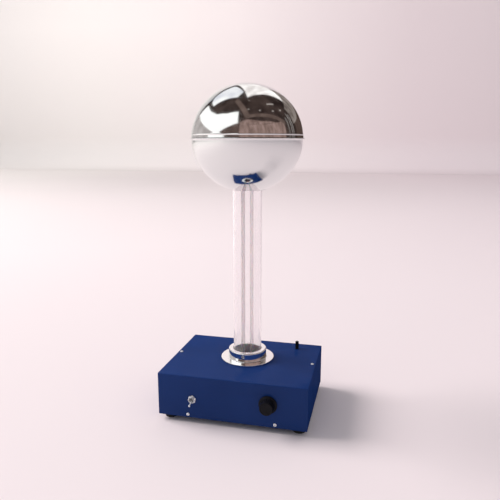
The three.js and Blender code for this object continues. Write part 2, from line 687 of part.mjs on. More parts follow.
function addSwitch() {
  const s = SWITCH;
  const group = frontGroup(s.x, s.below);
  const inner = -BASE.sheet - GAP;
  const half = [s.bodyX / 2, s.bodyUp / 2];
  const body = joined([
    block([-half[0], half[0]], [-half[1], half[1]], [inner - s.bodyDeep, inner]),
    rod(s.bushing, inner - PAST, s.bushingOut, ROUND),
  ]);
  const throat = turned([
    [0, -s.pivot - s.cavity], [s.cavity, -s.pivot - s.cavity], [s.cavity, -s.pivot],
    [s.mouth, s.bushingOut + SEAT], [s.mouth, s.bushingOut + PAST], [0, s.bushingOut + PAST],
  ], ROUND);
  addPiece(group, 'switch_body', without(body, [throat]), screwSteel);
  addPiece(group, 'switch_nut', hexNut(s.nut, s.bushing + GAP, SEAT, s.nutThick), screwSteel);

  const lever = groupAt(group, 0, 0, -s.pivot);
  lever.rotation.x = (s.tilt * Math.PI) / 180;
  const bat = turned([
    ...arc(0, 0, s.ball, s.ball, -QUARTER, Math.PI / 4, BEND_STEPS).map(([r, h]) => [Math.max(r, 0), h]),
    [s.stem, s.ball], [s.stem, s.reach / 2], [s.tip, s.reach - s.tip],
    ...arc(0, s.reach - s.tip, s.tip, s.tip, 0, QUARTER, BEND_STEPS).slice(1, -1), [0, s.reach],
  ], SMALL);
  addPiece(lever, 'switch_lever', bat, screwSteel);
}

function addSpeedControl() {
  const s = SPEED;
  const group = frontGroup(s.x, s.below);
  const inner = -BASE.sheet - GAP;
  const body = joined([
    rod(s.pot, inner - s.potDeep, inner, ROUND),
    rod(s.bushing, inner - PAST, s.bushingOut, ROUND),
  ]);
  const throat = rod(s.shaft + RUNNING, inner - s.potDeep + PAST, s.bushingOut + PAST, ROUND);
  addPiece(group, 'pot_body', without(body, [throat]), plainSteel);
  addPiece(group, 'pot_nut', hexNut(s.nut, s.bushing + GAP, SEAT, s.nutThick), screwSteel);
  addPiece(group, 'pot_shaft', rod(s.shaft, inner - s.potDeep + PAST + GAP, s.shaftOut, ROUND), aluminium);
  addPiece(group, 'speed_knob', knob(), blackPlastic);
}

// A skirted knob with a fluted grip and a hollow back that clears the nut.
function knob() {
  const s = SPEED;
  const low = s.lift;
  const shaftBore = s.shaft + GAP;
  const floor = s.shaftOut + GAP;
  const shell = turned([
    [0, floor], [shaftBore, floor], [shaftBore, s.hollowDeep], [s.hollow, s.hollowDeep], [s.hollow, low],
    [s.skirt, low], [s.skirt, low + s.skirtThick / 2], [s.skirt - s.flute, low + s.skirtThick],
    [s.cap + s.flute, low + s.skirtThick + s.flute], [s.cap, s.out - s.flute], [s.cap - s.flute, s.out],
    [0, s.out],
  ], s.flutes * 2);
  const cutters = ringOf(s.flutes, 0).map((angle) => rodAt(
    s.fluteAt * Math.cos(angle), s.fluteAt * Math.sin(angle),
    s.flute, low + s.skirtThick + s.flute * 2, s.out + PAST, HEX));
  return without(shell, cutters);
}

// ---------------------------------------------------------------- ground post on the top

function addGroundPost() {
  const g = GROUND;
  const c = GROUND_CAP;
  const group = groupAt(generator, g.x, g.y, baseTop);
  const sleeve = g.stud + GAP / 2;
  // The stud is a bolt whose hex head stays under the cover's top.
  const stud = joined([
    rod(g.stud, -BASE.sheet - SEAT, g.studHigh, SMALL),
    rod(c.head, -BASE.sheet - SEAT - c.headThick, -BASE.sheet - SEAT, HEX),
  ]);
  addPiece(group, 'ground_stud', stud, brass);
  addPiece(group, 'ground_washer', ring(sleeve, g.collar, SEAT, g.collarHigh, ROUND), blackPlastic);
  const low = g.collarHigh + SEAT;
  const top = low + c.height;
  const roof = g.studHigh + c.space;
  const shell = turned([
    [0, roof], [c.bore, roof], [c.bore, low], [g.cap, low], [g.cap, top - c.edge],
    [g.cap - c.edge, top], [0, top],
  ], ROUND);
  const grooves = ringOf(c.grooves, 0).map((angle) => rodAt(
    (g.cap + c.groove / 2) * Math.cos(angle), (g.cap + c.groove / 2) * Math.sin(angle),
    c.groove, low + c.edge, top + PAST, HEX));
  addPiece(group, 'ground_cap', without(shell, grooves), blackPlastic);
}

// ---------------------------------------------------------------- power inlet on the back panel

// Local +Z points out of the back panel, local +Y up and local +X to the left seen from the front.
function addInlet() {
  const n = INLET;
  const group = groupAt(generator, n.x, backY, n.z);
  group.rotation.set(QUARTER, Math.PI, 0);
  const span = (width) => [-width / 2, width / 2];
  const out = SEAT + n.flange;
  const body = joined([
    block(span(n.flangeX), span(n.flangeZ), [SEAT, out]),
    block(span(n.bodyX), span(n.bodyZ), [-n.deep, out]),
  ]);
  const insideX = n.bodyX - 2 * n.wall;
  const insideZ = n.bodyZ - 2 * n.wall;
  const cavity = block(span(insideX), span(insideZ), [n.floor - n.deep, out + PAST]);
  const pins = [['line', -n.spread, -n.rise], ['earth', 0, n.rise], ['neutral', n.spread, -n.rise]];
  const slots = pins.map(([, x, y]) => block(
    [x - n.pinX / 2 - GAP, x + n.pinX / 2 + GAP], [y - n.pinZ / 2 - GAP, y + n.pinZ / 2 + GAP],
    [-n.deep - PAST, n.floor - n.deep + PAST]));
  addPiece(group, 'inlet_body', without(body, [cavity, ...slots]), blackPlastic);
  pins.forEach(([which, x, y]) => {
    const blade = block([x - n.pinX / 2, x + n.pinX / 2], [y - n.pinZ / 2, y + n.pinZ / 2],
      [-n.deep - n.pinTail, n.floor - n.deep + n.pinOut]);
    addPiece(group, `inlet_pin_${which}`, blade, screwSteel);
  });
}

// ---------------------------------------------------------------- speed-control board inside the base

function addBoard() {
  const b = BOARD;
  const group = groupAt(generator, 0, 0, b.z);
  const plate = block(
    [b.x - b.wide / 2, b.x + b.wide / 2], [b.y - b.long / 2, b.y + b.long / 2], [0, b.thick]);
  const holes = boardPosts.map(([x, y]) => rodAt(x, y, b.hole, -PAST, b.thick + PAST, SMALL));
  addPiece(group, 'control_board', without(plate, holes), circuitGreen);
  boardPosts.forEach(([x, y], i) => {
    const post = turned([
      [0, floorTop + GAP - b.z], [b.post, floorTop + GAP - b.z], [b.post, -SEAT], [b.pin, -SEAT],
      [b.pin, b.thick + PAST], [0, b.thick + PAST],
    ], SMALL);
    addPiece(groupAt(group, x, y, 0), `board_standoff_${i + 1}`, post, whitePlastic);
  });
  const onBoard = b.thick + SEAT;
  const c = CAPACITOR;
  const can = rod(c.radius, 0, c.height, ROUND);
  addPiece(groupAt(group, c.x, c.y, onBoard), 'board_capacitor', can, blackPlastic);

  const h = HEAT_SINK;
  const pitch = (h.long - h.fin) / (h.fins - 1);
  const sink = [block([0, h.plate], [0, h.long], [0, h.height])];
  for (let i = 0; i < h.fins; i += 1) {
    sink.push(block([0, h.wide], [i * pitch, i * pitch + h.fin], [0, h.height]));
  }
  addPiece(groupAt(group, h.x, h.y, onBoard), 'board_heat_sink', joined(sink), aluminium);
}

addBase();
const column = addColumn();
addDrive();
addHead(column);
addSphere(column);
addSwitch();
addSpeedControl();
addGroundPost();
addInlet();
addBoard();

export default generator;
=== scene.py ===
"""The looks of a tabletop Van de Graaff generator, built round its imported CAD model.

Lengths are written in millimetres and turned into metres where a mesh is made. The frame is the CAD model's:
+Z up, the front panel faces -Y, and the floor is at z = 0.
"""
import json
import math
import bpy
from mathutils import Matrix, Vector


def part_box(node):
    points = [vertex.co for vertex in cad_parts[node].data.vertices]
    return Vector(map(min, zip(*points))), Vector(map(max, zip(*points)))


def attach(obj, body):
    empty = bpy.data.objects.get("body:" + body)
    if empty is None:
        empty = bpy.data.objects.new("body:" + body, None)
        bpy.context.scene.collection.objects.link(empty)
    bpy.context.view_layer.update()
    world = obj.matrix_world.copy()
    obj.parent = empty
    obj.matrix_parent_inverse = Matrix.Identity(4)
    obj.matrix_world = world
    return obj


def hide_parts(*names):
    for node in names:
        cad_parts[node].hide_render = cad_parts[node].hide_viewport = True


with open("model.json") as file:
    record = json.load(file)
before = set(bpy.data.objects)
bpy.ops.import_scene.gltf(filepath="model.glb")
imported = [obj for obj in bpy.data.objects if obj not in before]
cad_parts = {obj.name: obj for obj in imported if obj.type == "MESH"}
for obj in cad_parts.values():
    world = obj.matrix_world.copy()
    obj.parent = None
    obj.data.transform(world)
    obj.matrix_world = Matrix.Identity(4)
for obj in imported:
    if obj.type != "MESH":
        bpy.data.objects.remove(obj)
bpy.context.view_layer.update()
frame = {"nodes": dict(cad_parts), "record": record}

from types import SimpleNamespace as Sizes

import bmesh
import bpy
from mathutils import Euler, Matrix, Vector

SCENE = bpy.context.scene

# ---- sizes, in millimetres

MM = 0.001
X, Y, Z = Vector((1, 0, 0)), Vector((0, 1, 0)), Vector((0, 0, 1))
FULL, QUARTER = 2 * math.pi, math.pi / 2
FINE, ROUND, SMALL = 160, 64, 32  # segments round the column's axis, of mid-sized pieces and of screws
NEAR_ZERO = 1e-6

SPHERE = Sizes(
    radius=95.0, half=91.3, wall=1.2, lip=97.5, lip_thick=1.6, band=95.8, band_high=6.5,
    band_lean=0.6, bead=0.25, bead_low=2.2, bead_high=0.5,
)
NECK = Sizes(radius=25.8, wall=1.2, curl=4.5, top=22.0)
HUB = Sizes(gap=0.3, drill=2.2, screw=1.9)
COLLAR = Sizes(flange=48.3, thick=2.4, ring=34.4, bore=25.7, height=18.7, screw_at=12.6, screw=2.0, mouth=4.0)
TUBE = Sizes(outer=25.4, bore=23.8, edge=0.4)
BELT = Sizes(inner=7.3, thick=1.0, rows=10, bends=28, runs=60, edge=0.14, soft=0.22)
ROLLER = Sizes(radius=7.05, crown=0.35, end=6.2, bearing=3.9, bore=2.35)
AXLE = Sizes(radius=2.0, groove=1.6, near=2.2, far=2.8)
SHEET = Sizes(thick=1.2, bend=1.8, lip=14.0)
HOLES = Sizes(screw=1.8, bolt=2.3, post=2.5, foot=3.1, column=19.5, switch=5.4, pot=5.0)
CASE_SCREW = Sizes(head=2.9, thick=1.7, shank=1.5, long=6.0, cross=1.75, slot=0.36, deep=0.95)
SWITCH = Sizes(
    bushing=5.3, bore=3.0, rear=-7.8, well=-7.2, nut=7.2, nut_turn=0.3, pivot=4.0,
    tilt=17.6, ball=1.9, reach=20.5,
)
NUT = Sizes(thick=2.2, chamfer=0.45)
KNOB = Sizes(
    skirt=15.6, cap=11.2, flutes=24, flute=0.9, hollow=8.4, bore=3.3, deep=14.3, shaft=7.5,
    mark=0.55, mark_turn=210,
)
POT = Sizes(case=12.0, bushing=4.7, bore=3.35, shaft=3.0, nut=7.0, front=-1.5)
POST = Sizes(radius=3.25, ribs=20, knurl=0.28, bore=2.3, deep=10.9, washer=3.4, washer_bore=2.05)
INLET_CUT = (13.8, 10.05)
MOTOR = Sizes(can=18.0, bore=2.35, boss=6.0)
ROTOR = Sizes(  # its lengths are measured forwards from the column's axis
    shaft=2.0, rear=-27, front=80, core=13.0, core_rear=38, core_front=60, slots=9, slot=1.1,
    drive=5.5, drive_rear=65, drive_front=70,
)

# ---- meshes


def linked(name, data):
    """A new object in the scene that holds the data."""
    obj = bpy.data.objects.new(name, data)
    SCENE.collection.objects.link(obj)
    return obj


def mesh_from(name, bm):
    mesh = bpy.data.meshes.new(name)
    bm.to_mesh(mesh)
    bm.free()
    return mesh


def mesh_object(name, bm, sharp=40):
    """A new object from a bmesh, smooth except along edges sharper than `sharp` degrees."""
    bmesh.ops.recalc_face_normals(bm, faces=bm.faces)
    for face in bm.faces:
        face.smooth = True
    limit = math.radians(sharp)
    for edge in bm.edges:
        edge.smooth = not edge.is_manifold or edge.calc_face_angle(0) < limit
    return linked(name, mesh_from(name, bm))


def spread(start, end, steps):
    """Evenly spaced values, both ends included."""
    return [start + (end - start) * i / steps for i in range(steps + 1)]


def arc(cx, cy, rx, ry, start, end, steps):
    return [(cx + rx * math.cos(angle), cy + ry * math.sin(angle)) for angle in spread(start, end, steps)]


def below(points):
    """The points' mirror images across y = 0, in reverse, so that one outline runs on into the other."""
    return [(point[0], -point[1], *point[2:]) for point in reversed(points)]


def filleted(points, steps=5):
    """The outline with each corner that has a third number rounded by about that radius."""
    out = []
    count = len(points)
    for i, point in enumerate(points):
        corner = Vector(point[:2])
        radius = point[2] if len(point) > 2 else 0
        before = Vector(points[(i - 1) % count][:2]) - corner
        after = Vector(points[(i + 1) % count][:2]) - corner
        if not radius or before.length == 0 or after.length == 0:
            out.append(corner)
            continue
        half = before.angle(after) / 2
        reach = min(radius / max(math.tan(half), 0.05), 0.48 * before.length, 0.48 * after.length)
        start, end = corner + before.normalized() * reach, corner + after.normalized() * reach
        for k in range(steps + 1):
            t = k / steps
            out.append(start * (1 - t) ** 2 + corner * 2 * t * (1 - t) + end * t * t)
    return out


def placed(centre, axis, turn=0.0):
    """Local +Z to the axis, local origin to the centre (in metres), after a turn about local +Z."""
    tilt = Z.rotation_difference(Vector(axis)).to_matrix().to_4x4()
    if Vector(axis).normalized().dot(Z) < -0.999:
        tilt = Matrix.Rotation(math.pi, 4, "X")
    return Matrix.Translation(centre) @ tilt @ Matrix.Rotation(turn, 4, "Z")


def lathe(name, outline, matrix, segments=ROUND, steps=5, radius_at=None, sharp=40):
    """A closed body of revolution about +Z. The outline starts and ends on the axis, or closes on itself."""
    bm = bmesh.new()
    rings = []
    for radius, height in filleted(outline, steps):
        if radius < NEAR_ZERO:
            rings.append([bm.verts.new((0, 0, height * MM))])
            continue
        ring = []
        for i in range(segments):
            angle = FULL * i / segments
            r = radius_at(radius, height, angle) if radius_at else radius
            ring.append(bm.verts.new((r * math.cos(angle) * MM, r * math.sin(angle) * MM, height * MM)))
        rings.append(ring)
    pairs = list(zip(rings, rings[1:]))
    if len(rings[0]) > 1:
        pairs.append((rings[-1], rings[0]))
    for low, high in pairs:
        for i in range(segments):
            j = (i + 1) % segments
            corners = [low[i % len(low)], low[j % len(low)], high[j % len(high)], high[i % len(high)]]
            unique = list(dict.fromkeys(corners))
            if len(unique) > 2:
                bm.faces.new(unique)
    bmesh.ops.transform(bm, matrix=matrix, verts=bm.verts)
    return mesh_object(name, bm, sharp)


def prism(name, outline, low, high, matrix):
    """An outline in local x and y, in millimetres, extruded from low to high along +Z."""
    bm = bmesh.new()
    base, top = ([bm.verts.new((p[0] * MM, p[1] * MM, end * MM)) for p in outline] for end in (low, high))
    bm.faces.new(base)
    bm.faces.new(top)
    for i in range(len(outline)):
        j = (i + 1) % len(outline)
        bm.faces.new((base[i], base[j], top[j], top[i]))
    bmesh.ops.transform(bm, matrix=matrix, verts=bm.verts)
    return mesh_object(name, bm)


def box(name, low, high, matrix=Matrix()):
    """A box between two corners, in millimetres."""
    corners = [(low[0], low[1]), (high[0], low[1]), (high[0], high[1]), (low[0], high[1])]
    return prism(name, corners, low[2], high[2], matrix)


def modify(obj, kind, **settings):
    modifier = obj.modifiers.new(kind, kind)
    for setting, value in settings.items():
        setattr(modifier, setting, value)


def applied(obj, sharp=40):
    """The object with its modifiers applied and its sharp edges marked again."""
    bpy.context.view_layer.update()
    graph = bpy.context.evaluated_depsgraph_get()
    bm = bmesh.new()
    bm.from_mesh(obj.evaluated_get(graph).to_mesh())
    name = obj.name
    for used in [step.object for step in obj.modifiers if step.type == "BOOLEAN"]:
        bpy.data.objects.remove(used)
    bpy.data.objects.remove(obj)
    bmesh.ops.remove_doubles(bm, verts=bm.verts, dist=1e-7)
    return mesh_object(name, bm, sharp)


def cut(obj, cutters, operation="DIFFERENCE", sharp=40):
    """The object without (or joined with) the given bodies."""
    for cutter in cutters:
        modify(obj, "BOOLEAN", operation=operation, solver="EXACT", object=cutter)
    return applied(obj, sharp)


def bevelled(obj, width, segments=2, angle=35):
    """The object with its edges broken, where they are sharper than the angle in degrees."""
    limit = math.radians(angle)
    modify(obj, "BEVEL", width=width * MM, segments=segments, limit_method="ANGLE", angle_limit=limit)
    return applied(obj)


def hole(radius, low, high, matrix, segments=ROUND):
    return lathe("cutter", [(0, low), (radius, low), (radius, high), (0, high)], matrix, segments)


def hexagon(corner):
    return [(corner * math.cos(FULL * i / 6), corner * math.sin(FULL * i / 6)) for i in range(6)]


def from_node(node, edge, segments):
    """A copy of a CAD node with its flat faces whole and its edges broken by a small bevel."""
    bm = bmesh.new()
    bm.from_mesh(frame["nodes"][node].data)
    bmesh.ops.remove_doubles(bm, verts=bm.verts, dist=NEAR_ZERO)
    bmesh.ops.dissolve_limit(bm, angle_limit=math.radians(0.5), verts=bm.verts, edges=bm.edges)
    return bevelled(mesh_object("fine_" + node, bm), edge, segments)


# ---- materials


class Paint:
    """A Principled material under construction, with short calls for the nodes it uses."""

    def __init__(self, name, **values):
        self.material = bpy.data.materials.new(name)
        self.material.use_nodes = True
        self.nodes = self.material.node_tree.nodes
        self.links = self.material.node_tree.links
        self.shader = self.nodes["Principled BSDF"]
        for socket, value in values.items():
            self.shader.inputs[socket.replace("_", " ")].default_value = value
        self.at = self.nodes.new("ShaderNodeTexCoord").outputs["Object"]

    def node(self, kind, inputs, **settings):
        made = self.nodes.new("ShaderNode" + kind)
        for key, value in settings.items():
            setattr(made, key, value)
        for key, value in inputs.items():
            if isinstance(value, bpy.types.NodeSocket):
                self.links.new(value, made.inputs[key])
            else:
                made.inputs[key].default_value = value
        return made

    def stretched(self, scale):
        return self.node("Mapping", {"Vector": self.at, "Scale": scale}).outputs[0]

    def noise(self, scale, detail=3.0, where=None, roughness=0.5):
        inputs = {"Vector": where or self.at, "Scale": scale, "Detail": detail, "Roughness": roughness}
        return self.node("TexNoise", inputs).outputs["Fac"]

    def span(self, value, low, high, start=0.0, end=1.0):
        """A value between start and end, spread over low to high."""
        inputs = {"Value": value, "From Min": start, "From Max": end, "To Min": low, "To Max": high}
        return self.node("MapRange", inputs).outputs[0]

    def mix(self, factor, first, second):
        return self.node("Mix", {0: factor, 6: first, 7: second}, data_type="RGBA").outputs[2]

    def maths(self, operation, first, second):
        return self.node("Math", {0: first, 1: second}, operation=operation).outputs[0]

    def between(self, share, first, second):
        """A plain value between two others."""
        rest = self.maths("MULTIPLY", self.maths("SUBTRACT", 1.0, share), first)
        return self.maths("ADD", rest, self.maths("MULTIPLY", share, second))

    def along(self, axis):
        return self.node("SeparateXYZ", {"Vector": self.at}).outputs[axis]

    def vector(self, operation, first, second, output="Vector"):
        return self.node("VectorMath", {0: first, 1: second}, operation=operation).outputs[output]

    def distance(self, point):
        return self.vector("DISTANCE", self.at, point, "Value")

    def feed(self, socket, value):
        self.links.new(value, self.shader.inputs[socket])

    def showing(self, shader):
        """The finished material, with another shader on its surface."""
        self.links.new(shader.outputs[0], self.nodes["Material Output"].inputs["Surface"])
        return self.material

    def coated(self, colour, roughness, normal):
        """The finished material, with what every paint has."""
        self.feed("Base Color", colour)
        self.feed("Roughness", roughness)
        self.feed("Normal", normal)
        return self.material

    def bump(self, height, distance, strength, onto=None):
        inputs = {"Height": height, "Distance": distance * MM, "Strength": strength}
        if onto is not None:
            inputs["Normal"] = onto
        return self.node("Bump", inputs).outputs[0]


def rgba(r, g, b):
    return (r, g, b, 1.0)


def shade(colour, factor):
    return rgba(*(c * factor for c in colour[:3]))


def blue_paint():
    """Semi-gloss enamel on steel: a little orange peel, uneven gloss, rare dust in the coat."""
    blue = rgba(0.0102, 0.0330, 0.138)
    p = Paint("blue_paint", Specular_IOR_Level=0.0, Coat_Roughness=0.10)
    facing = p.node("LayerWeight", {"Blend": 0.5}).outputs["Facing"]
    p.feed("Coat Weight", p.span(facing, 0.18, 0.012, 0.48, 0.78))
    drift = p.span(p.noise(14, 4), 0, 1, 0.3, 0.7)
    body = p.mix(drift, shade(blue, 0.93), shade(blue, 1.07))
    specks = p.span(p.noise(1900, 0), 0, 1, 0.79, 0.84)
    peel = p.bump(p.noise(650, 2), 0.05, 0.22)
    gloss = p.span(p.noise(60, 5), 0.42, 0.52, 0.3, 0.7)
    return p.coated(p.mix(specks, body, shade(blue, 1.8)), gloss, p.bump(p.noise(2600, 1), 0.012, 0.25, peel))


def mirror_steel(name, dull, bright, bored=0.0):
    """Polished by spinning: nearly a mirror, faintly ringed and hazy. A bore is left as machined."""
    p = Paint(name, Metallic=1.0, Specular_IOR_Level=0.5)
    smudge = p.span(p.noise(26, 6, roughness=0.65), 0.0, 1.0, 0.46, 0.72)
    lines = p.noise(1.0, 2, p.stretched((60, 60, 5200)))
    polished = p.maths("ADD", p.span(smudge, 0.09, 0.13), p.span(lines, 0.0, 0.02, 0.4, 0.7))
    if bored:
        flat = p.vector("MULTIPLY", p.vector("SUBTRACT", p.at, AXIS), (1, 1, 0))
        out = p.vector("DISTANCE", flat, (0, 0, 0), "Value")
        polished = p.maths("ADD", polished, p.span(out, 0.34, 0.0, bored * MM, (bored + 0.3) * MM))
    return p.coated(p.mix(p.noise(9, 3), dull, bright), polished, p.bump(lines, 0.0012, 0.5))


def bright_metal(name, colour, rough, scale, grain=0.02, metallic=1.0):
    """Plated or machined metal with a fine grain and slight staining."""
    p = Paint(name, Metallic=metallic)
    stained = p.mix(p.noise(scale, 4), shade(colour, 0.86), shade(colour, 1.06))
    gloss = p.span(p.noise(scale * 3, 4), rough * 0.75, rough * 1.35, 0.3, 0.7)
    return p.coated(stained, gloss, p.bump(p.noise(scale * 22, 2), grain, 0.3))


def turned_metal(name, colour, rough, lines=(900, 900, 4200)):
    """Metal with the fine rings or streaks that a lathe or a brush leaves."""
    p = Paint(name, Metallic=1.0)
    streaks = p.noise(1.0, 3, p.stretched(lines))
    streaked = p.mix(streaks, shade(colour, 0.88), shade(colour, 1.05))
    gloss = p.span(streaks, rough * 0.8, rough * 1.3, 0.35, 0.65)
    return p.coated(streaked, gloss, p.bump(streaks, 0.01, 0.35))


def plastic(name, colour, rough, texture=900, depth=0.02, specular=0.4):
    """Moulded plastic: a fine even texture and slightly uneven gloss."""
    p = Paint(name, Specular_IOR_Level=specular)
    clouded = p.mix(p.noise(45, 5), shade(colour, 0.85), shade(colour, 1.15))
    gloss = p.span(p.noise(120, 4), rough * 0.88, rough * 1.12, 0.3, 0.7)
    return p.coated(clouded, gloss, p.bump(p.noise(texture, 2), depth, 0.5))


def rubber(name, colour):
    """Matt rubber with a bloom of dust and a coarse skin."""
    p = Paint(name, Specular_IOR_Level=0.25)
    bloom = p.span(p.noise(90, 6), 0, 1, 0.45, 0.75)
    dusted = p.mix(bloom, colour, rgba(0.035, 0.034, 0.033))
    return p.coated(dusted, p.span(bloom, 0.62, 0.85), p.bump(p.noise(1500, 3), 0.05, 0.6))


def acrylic():
    """Clear extruded tube with very faint lines along its length.

    Light from lamps and walls passes straight in, and mirrors see straight through it.
    """
    p = Paint("acrylic", Base_Color=rgba(0.99, 0.98, 0.985), Transmission_Weight=1.0, IOR=1.49,
              Specular_IOR_Level=0.5)
    lines = p.noise(1.0, 2, p.stretched((420, 420, 3)))
    p.feed("Roughness", p.span(lines, 0.0, 0.012, 0.35, 0.75))
    p.feed("Normal", p.bump(lines, 0.002, 0.1))
    path = p.node("LightPath", {}).outputs
    clear = p.node("BsdfTransparent", {"Color": rgba(0.96, 0.95, 0.955)})
    lit = p.maths("MAXIMUM", path["Is Shadow Ray"], path["Is Diffuse Ray"])
    lit = p.maths("MAXIMUM", lit, p.maths("SUBTRACT", path["Is Glossy Ray"], path["Is Transmission Ray"]))
    both = p.node("MixShader", {"Fac": lit})
    p.links.new(p.shader.outputs[0], both.inputs[1])
    p.links.new(clear.outputs[0], both.inputs[2])
    return p.showing(both)


def belt_rubber():
    """Pale, slightly see-through latex, calendered smooth and streaked along the run, with painted shade on
    the inner face where the two runs shade each other.
    """
    # The third colour is painted shade: the dark colour of the loop's inner face, where the two runs shade
    # each other.
    pale, worn, shaded_inner_face = rgba(0.99, 0.95, 0.96), rgba(0.93, 0.89, 0.90), rgba(0.22, 0.19, 0.20)
    p = Paint("belt_rubber", Specular_IOR_Level=0.2, Alpha=0.27, Subsurface_Weight=0.8,
              Subsurface_Scale=0.004)
    streaks = p.noise(1.0, 4, p.stretched((500, 900, 10)))
    from_middle = p.maths("ABSOLUTE", p.maths("SUBTRACT", p.along("X"), AXIS.x), 0)
    # Where the loop's inner face is: it takes the painted shade.
    inside = p.maths("LESS_THAN", from_middle, (BELT.inner + BELT.thick / 2) * MM)
    outer_face = p.mix(p.span(streaks, 0, 1, 0.35, 0.7), pale, worn)
    skin = p.bump(p.noise(1.0, 3, p.stretched((900, 2200, 60))), 0.03, 0.4)
    return p.coated(p.mix(inside, outer_face, shaded_inner_face), p.span(streaks, 0.50, 0.68, 0.3, 0.7), skin)


def circuit_board():
    """Green solder mask over copper tracks, with tinned pads."""
    mask, track = rgba(0.010, 0.085, 0.032), rgba(0.022, 0.15, 0.055)
    p = Paint("circuit_board", Specular_IOR_Level=0.5)
    maze = p.node("TexBrick", {
        "Vector": p.at, "Color1": rgba(1, 1, 1), "Color2": rgba(0.8, 0.8, 0.8), "Mortar": rgba(0, 0, 0),
        "Scale": 60.0, "Mortar Size": 0.02, "Brick Width": 0.7, "Row Height": 0.16,
    }).outputs["Fac"]
    pads = p.node("TexVoronoi", {"Vector": p.at, "Scale": 210.0}).outputs["Distance"]
    pad = p.span(pads, 1, 0, 0.16, 0.2)
    p.feed("Metallic", p.span(pad, 0, 0.9))
    tinned = p.mix(pad, p.mix(maze, mask, track), rgba(0.55, 0.55, 0.52))
    return p.coated(tinned, p.span(p.noise(80, 3), 0.28, 0.42), p.bump(maze, 0.035, 0.6))


tube_low, tube_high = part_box("column_tube")
AXIS = Vector(((tube_low.x + tube_high.x) / 2, (tube_low.y + tube_high.y) / 2, 0))

MATERIALS = {
    "blue_paint": blue_paint(),
    "mirror_steel": mirror_steel("mirror_steel", rgba(0.75, 0.77, 0.765), rgba(0.80, 0.82, 0.815)),
    "screw_steel": bright_metal("screw_steel", rgba(0.94, 0.95, 0.97), 0.30, 160, metallic=0.6),
    "plain_steel": turned_metal("plain_steel", rgba(0.42, 0.42, 0.43), 0.34),
    "black_plastic": plastic("black_plastic", rgba(0.0055, 0.0055, 0.0078), 0.50, specular=0.14),
    "black_rubber": rubber("black_rubber", rgba(0.0085, 0.0085, 0.0088)),
    "acrylic": acrylic(),
    "belt_rubber": belt_rubber(),
    "white_plastic": plastic("white_plastic", rgba(0.74, 0.71, 0.66), 0.35, 700, 0.01, 0.5),
    "brass": bright_metal("brass", rgba(0.60, 0.40, 0.14), 0.22, 140),
    "aluminium": turned_metal("aluminium", rgba(0.62, 0.62, 0.64), 0.28),
    "circuit_board": circuit_board(),
}
COLLAR_BOLTS = [f"collar_bolt_{i}" for i in (1, 2, 3)]
TOP_SCREWS = [f"top_screw_{i}" for i in (1, 2)]
END_SCREWS = [f"{end}_screw_{i}" for end in ("front", "rear") for i in (1, 2)]
FEET = [f"foot_{end}_{side}" for end in ("front", "rear") for side in ("left", "right")]
# A lighter copy of the mirror steel, as painted light: the collar takes it so that it shows brighter than the
# sphere's halves.
COLLAR_STEEL_PAINTED_LIGHTER = mirror_steel("collar_steel_painted_lighter", rgba(0.90, 0.91, 0.91), rgba(0.95, 0.96, 0.96), COLLAR.bore)
SLOT_OF = {row["node"]: row["material_slot"] for row in frame["record"]["subparts"]}
BODY_OF = {node: body for body, nodes in frame["record"]["behaviour"]["bodies"].items() for node in nodes}


def finished(obj, node):
    """obj stands for a CAD node: it rides on the node's body and takes its slot's material."""
    name = SLOT_OF[node]
    obj.data.materials.clear()
    obj.data.materials.append(MATERIALS[name])
    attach(obj, BODY_OF[node])
    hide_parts(node)
    return obj


def middle(node):
    low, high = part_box(node)
    return (low + high) / 2


def span_mm(node, axis):
    """How long a CAD node is along x, y or z, in millimetres."""
    low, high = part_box(node)
    return (getattr(high, axis) - getattr(low, axis)) / MM


def on_axis(height):
    """Local +Z up the column's axis, from a height in metres."""
    return Matrix.Translation((AXIS.x, AXIS.y, height))


def upright(node):
    """Local +Z up through the middle of a CAD node, from its underside."""
    at = middle(node)
    return Matrix.Translation((at.x, at.y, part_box(node)[0].z))


def forwards(x, y, z):
    """Local +Z towards the front, from a point in metres."""
    return placed(Vector((x, y, z)), -Y)


# ---- camera


def add_camera():
    """A short portrait lens just above the base's height, a little to the right of the front."""
    distance, side, height = 0.8966, 0.2255, 0.472
    pitch, turn = math.radians(11.324), math.radians(13.84)
    data = bpy.data.cameras.new("camera")
    data.sensor_width = 36
    data.lens = 38.19
    data.clip_end = 60
    camera = linked("camera", data)
    camera.location = AXIS + Vector((side, -distance, height))
    camera.rotation_euler = Euler((QUARTER - pitch, 0, turn))
    SCENE.camera = camera


# ---- sphere


def sphere_matrix():
    """The sphere's own frame, with its origin in the middle of the equator."""
    return on_axis(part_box("lower_dome")[1].z)


def add_lower_dome():
    """The lower half: a neck curled in round the tube, and a rolled lip at the equator."""
    s, n = SPHERE, NECK
    wall_mid = n.radius + n.wall / 2
    start = -math.acos((wall_mid + n.curl) / s.radius)
    centre = (wall_mid + n.curl, s.half * math.sin(start) + n.curl)
    rim = -math.asin((s.lip_thick + 0.9) / s.half)
    bend_out, bend_in = n.curl + n.wall / 2, n.curl - n.wall / 2
    outside = arc(0, 0, s.radius, s.half, start, rim, 60)
    inside = arc(0, 0, s.radius - s.wall, s.half - s.wall, rim, start, 60)
    lip_mid = -s.lip_thick / 2
    lip = arc(s.lip + lip_mid, lip_mid, -lip_mid, -lip_mid, -QUARTER, QUARTER, 10)
    outline = [(n.radius, centre[1] + n.top - n.curl)]
    outline += arc(*centre, bend_out, bend_out, math.pi, 1.5 * math.pi, 14)
    outline += outside[1:] + [(s.radius + 0.7, -s.lip_thick)] + lip
    outline += [(s.radius - s.wall + 0.3, 0), (s.radius - s.wall, -0.3)] + inside[1:-1]
    outline += arc(*centre, bend_in, bend_in, 1.5 * math.pi, math.pi, 12)
    outline += [(n.radius + n.wall, centre[1] + n.top - n.curl)]
    finished(lathe("lower_dome_shell", outline, sphere_matrix(), FINE, sharp=50), "lower_dome")


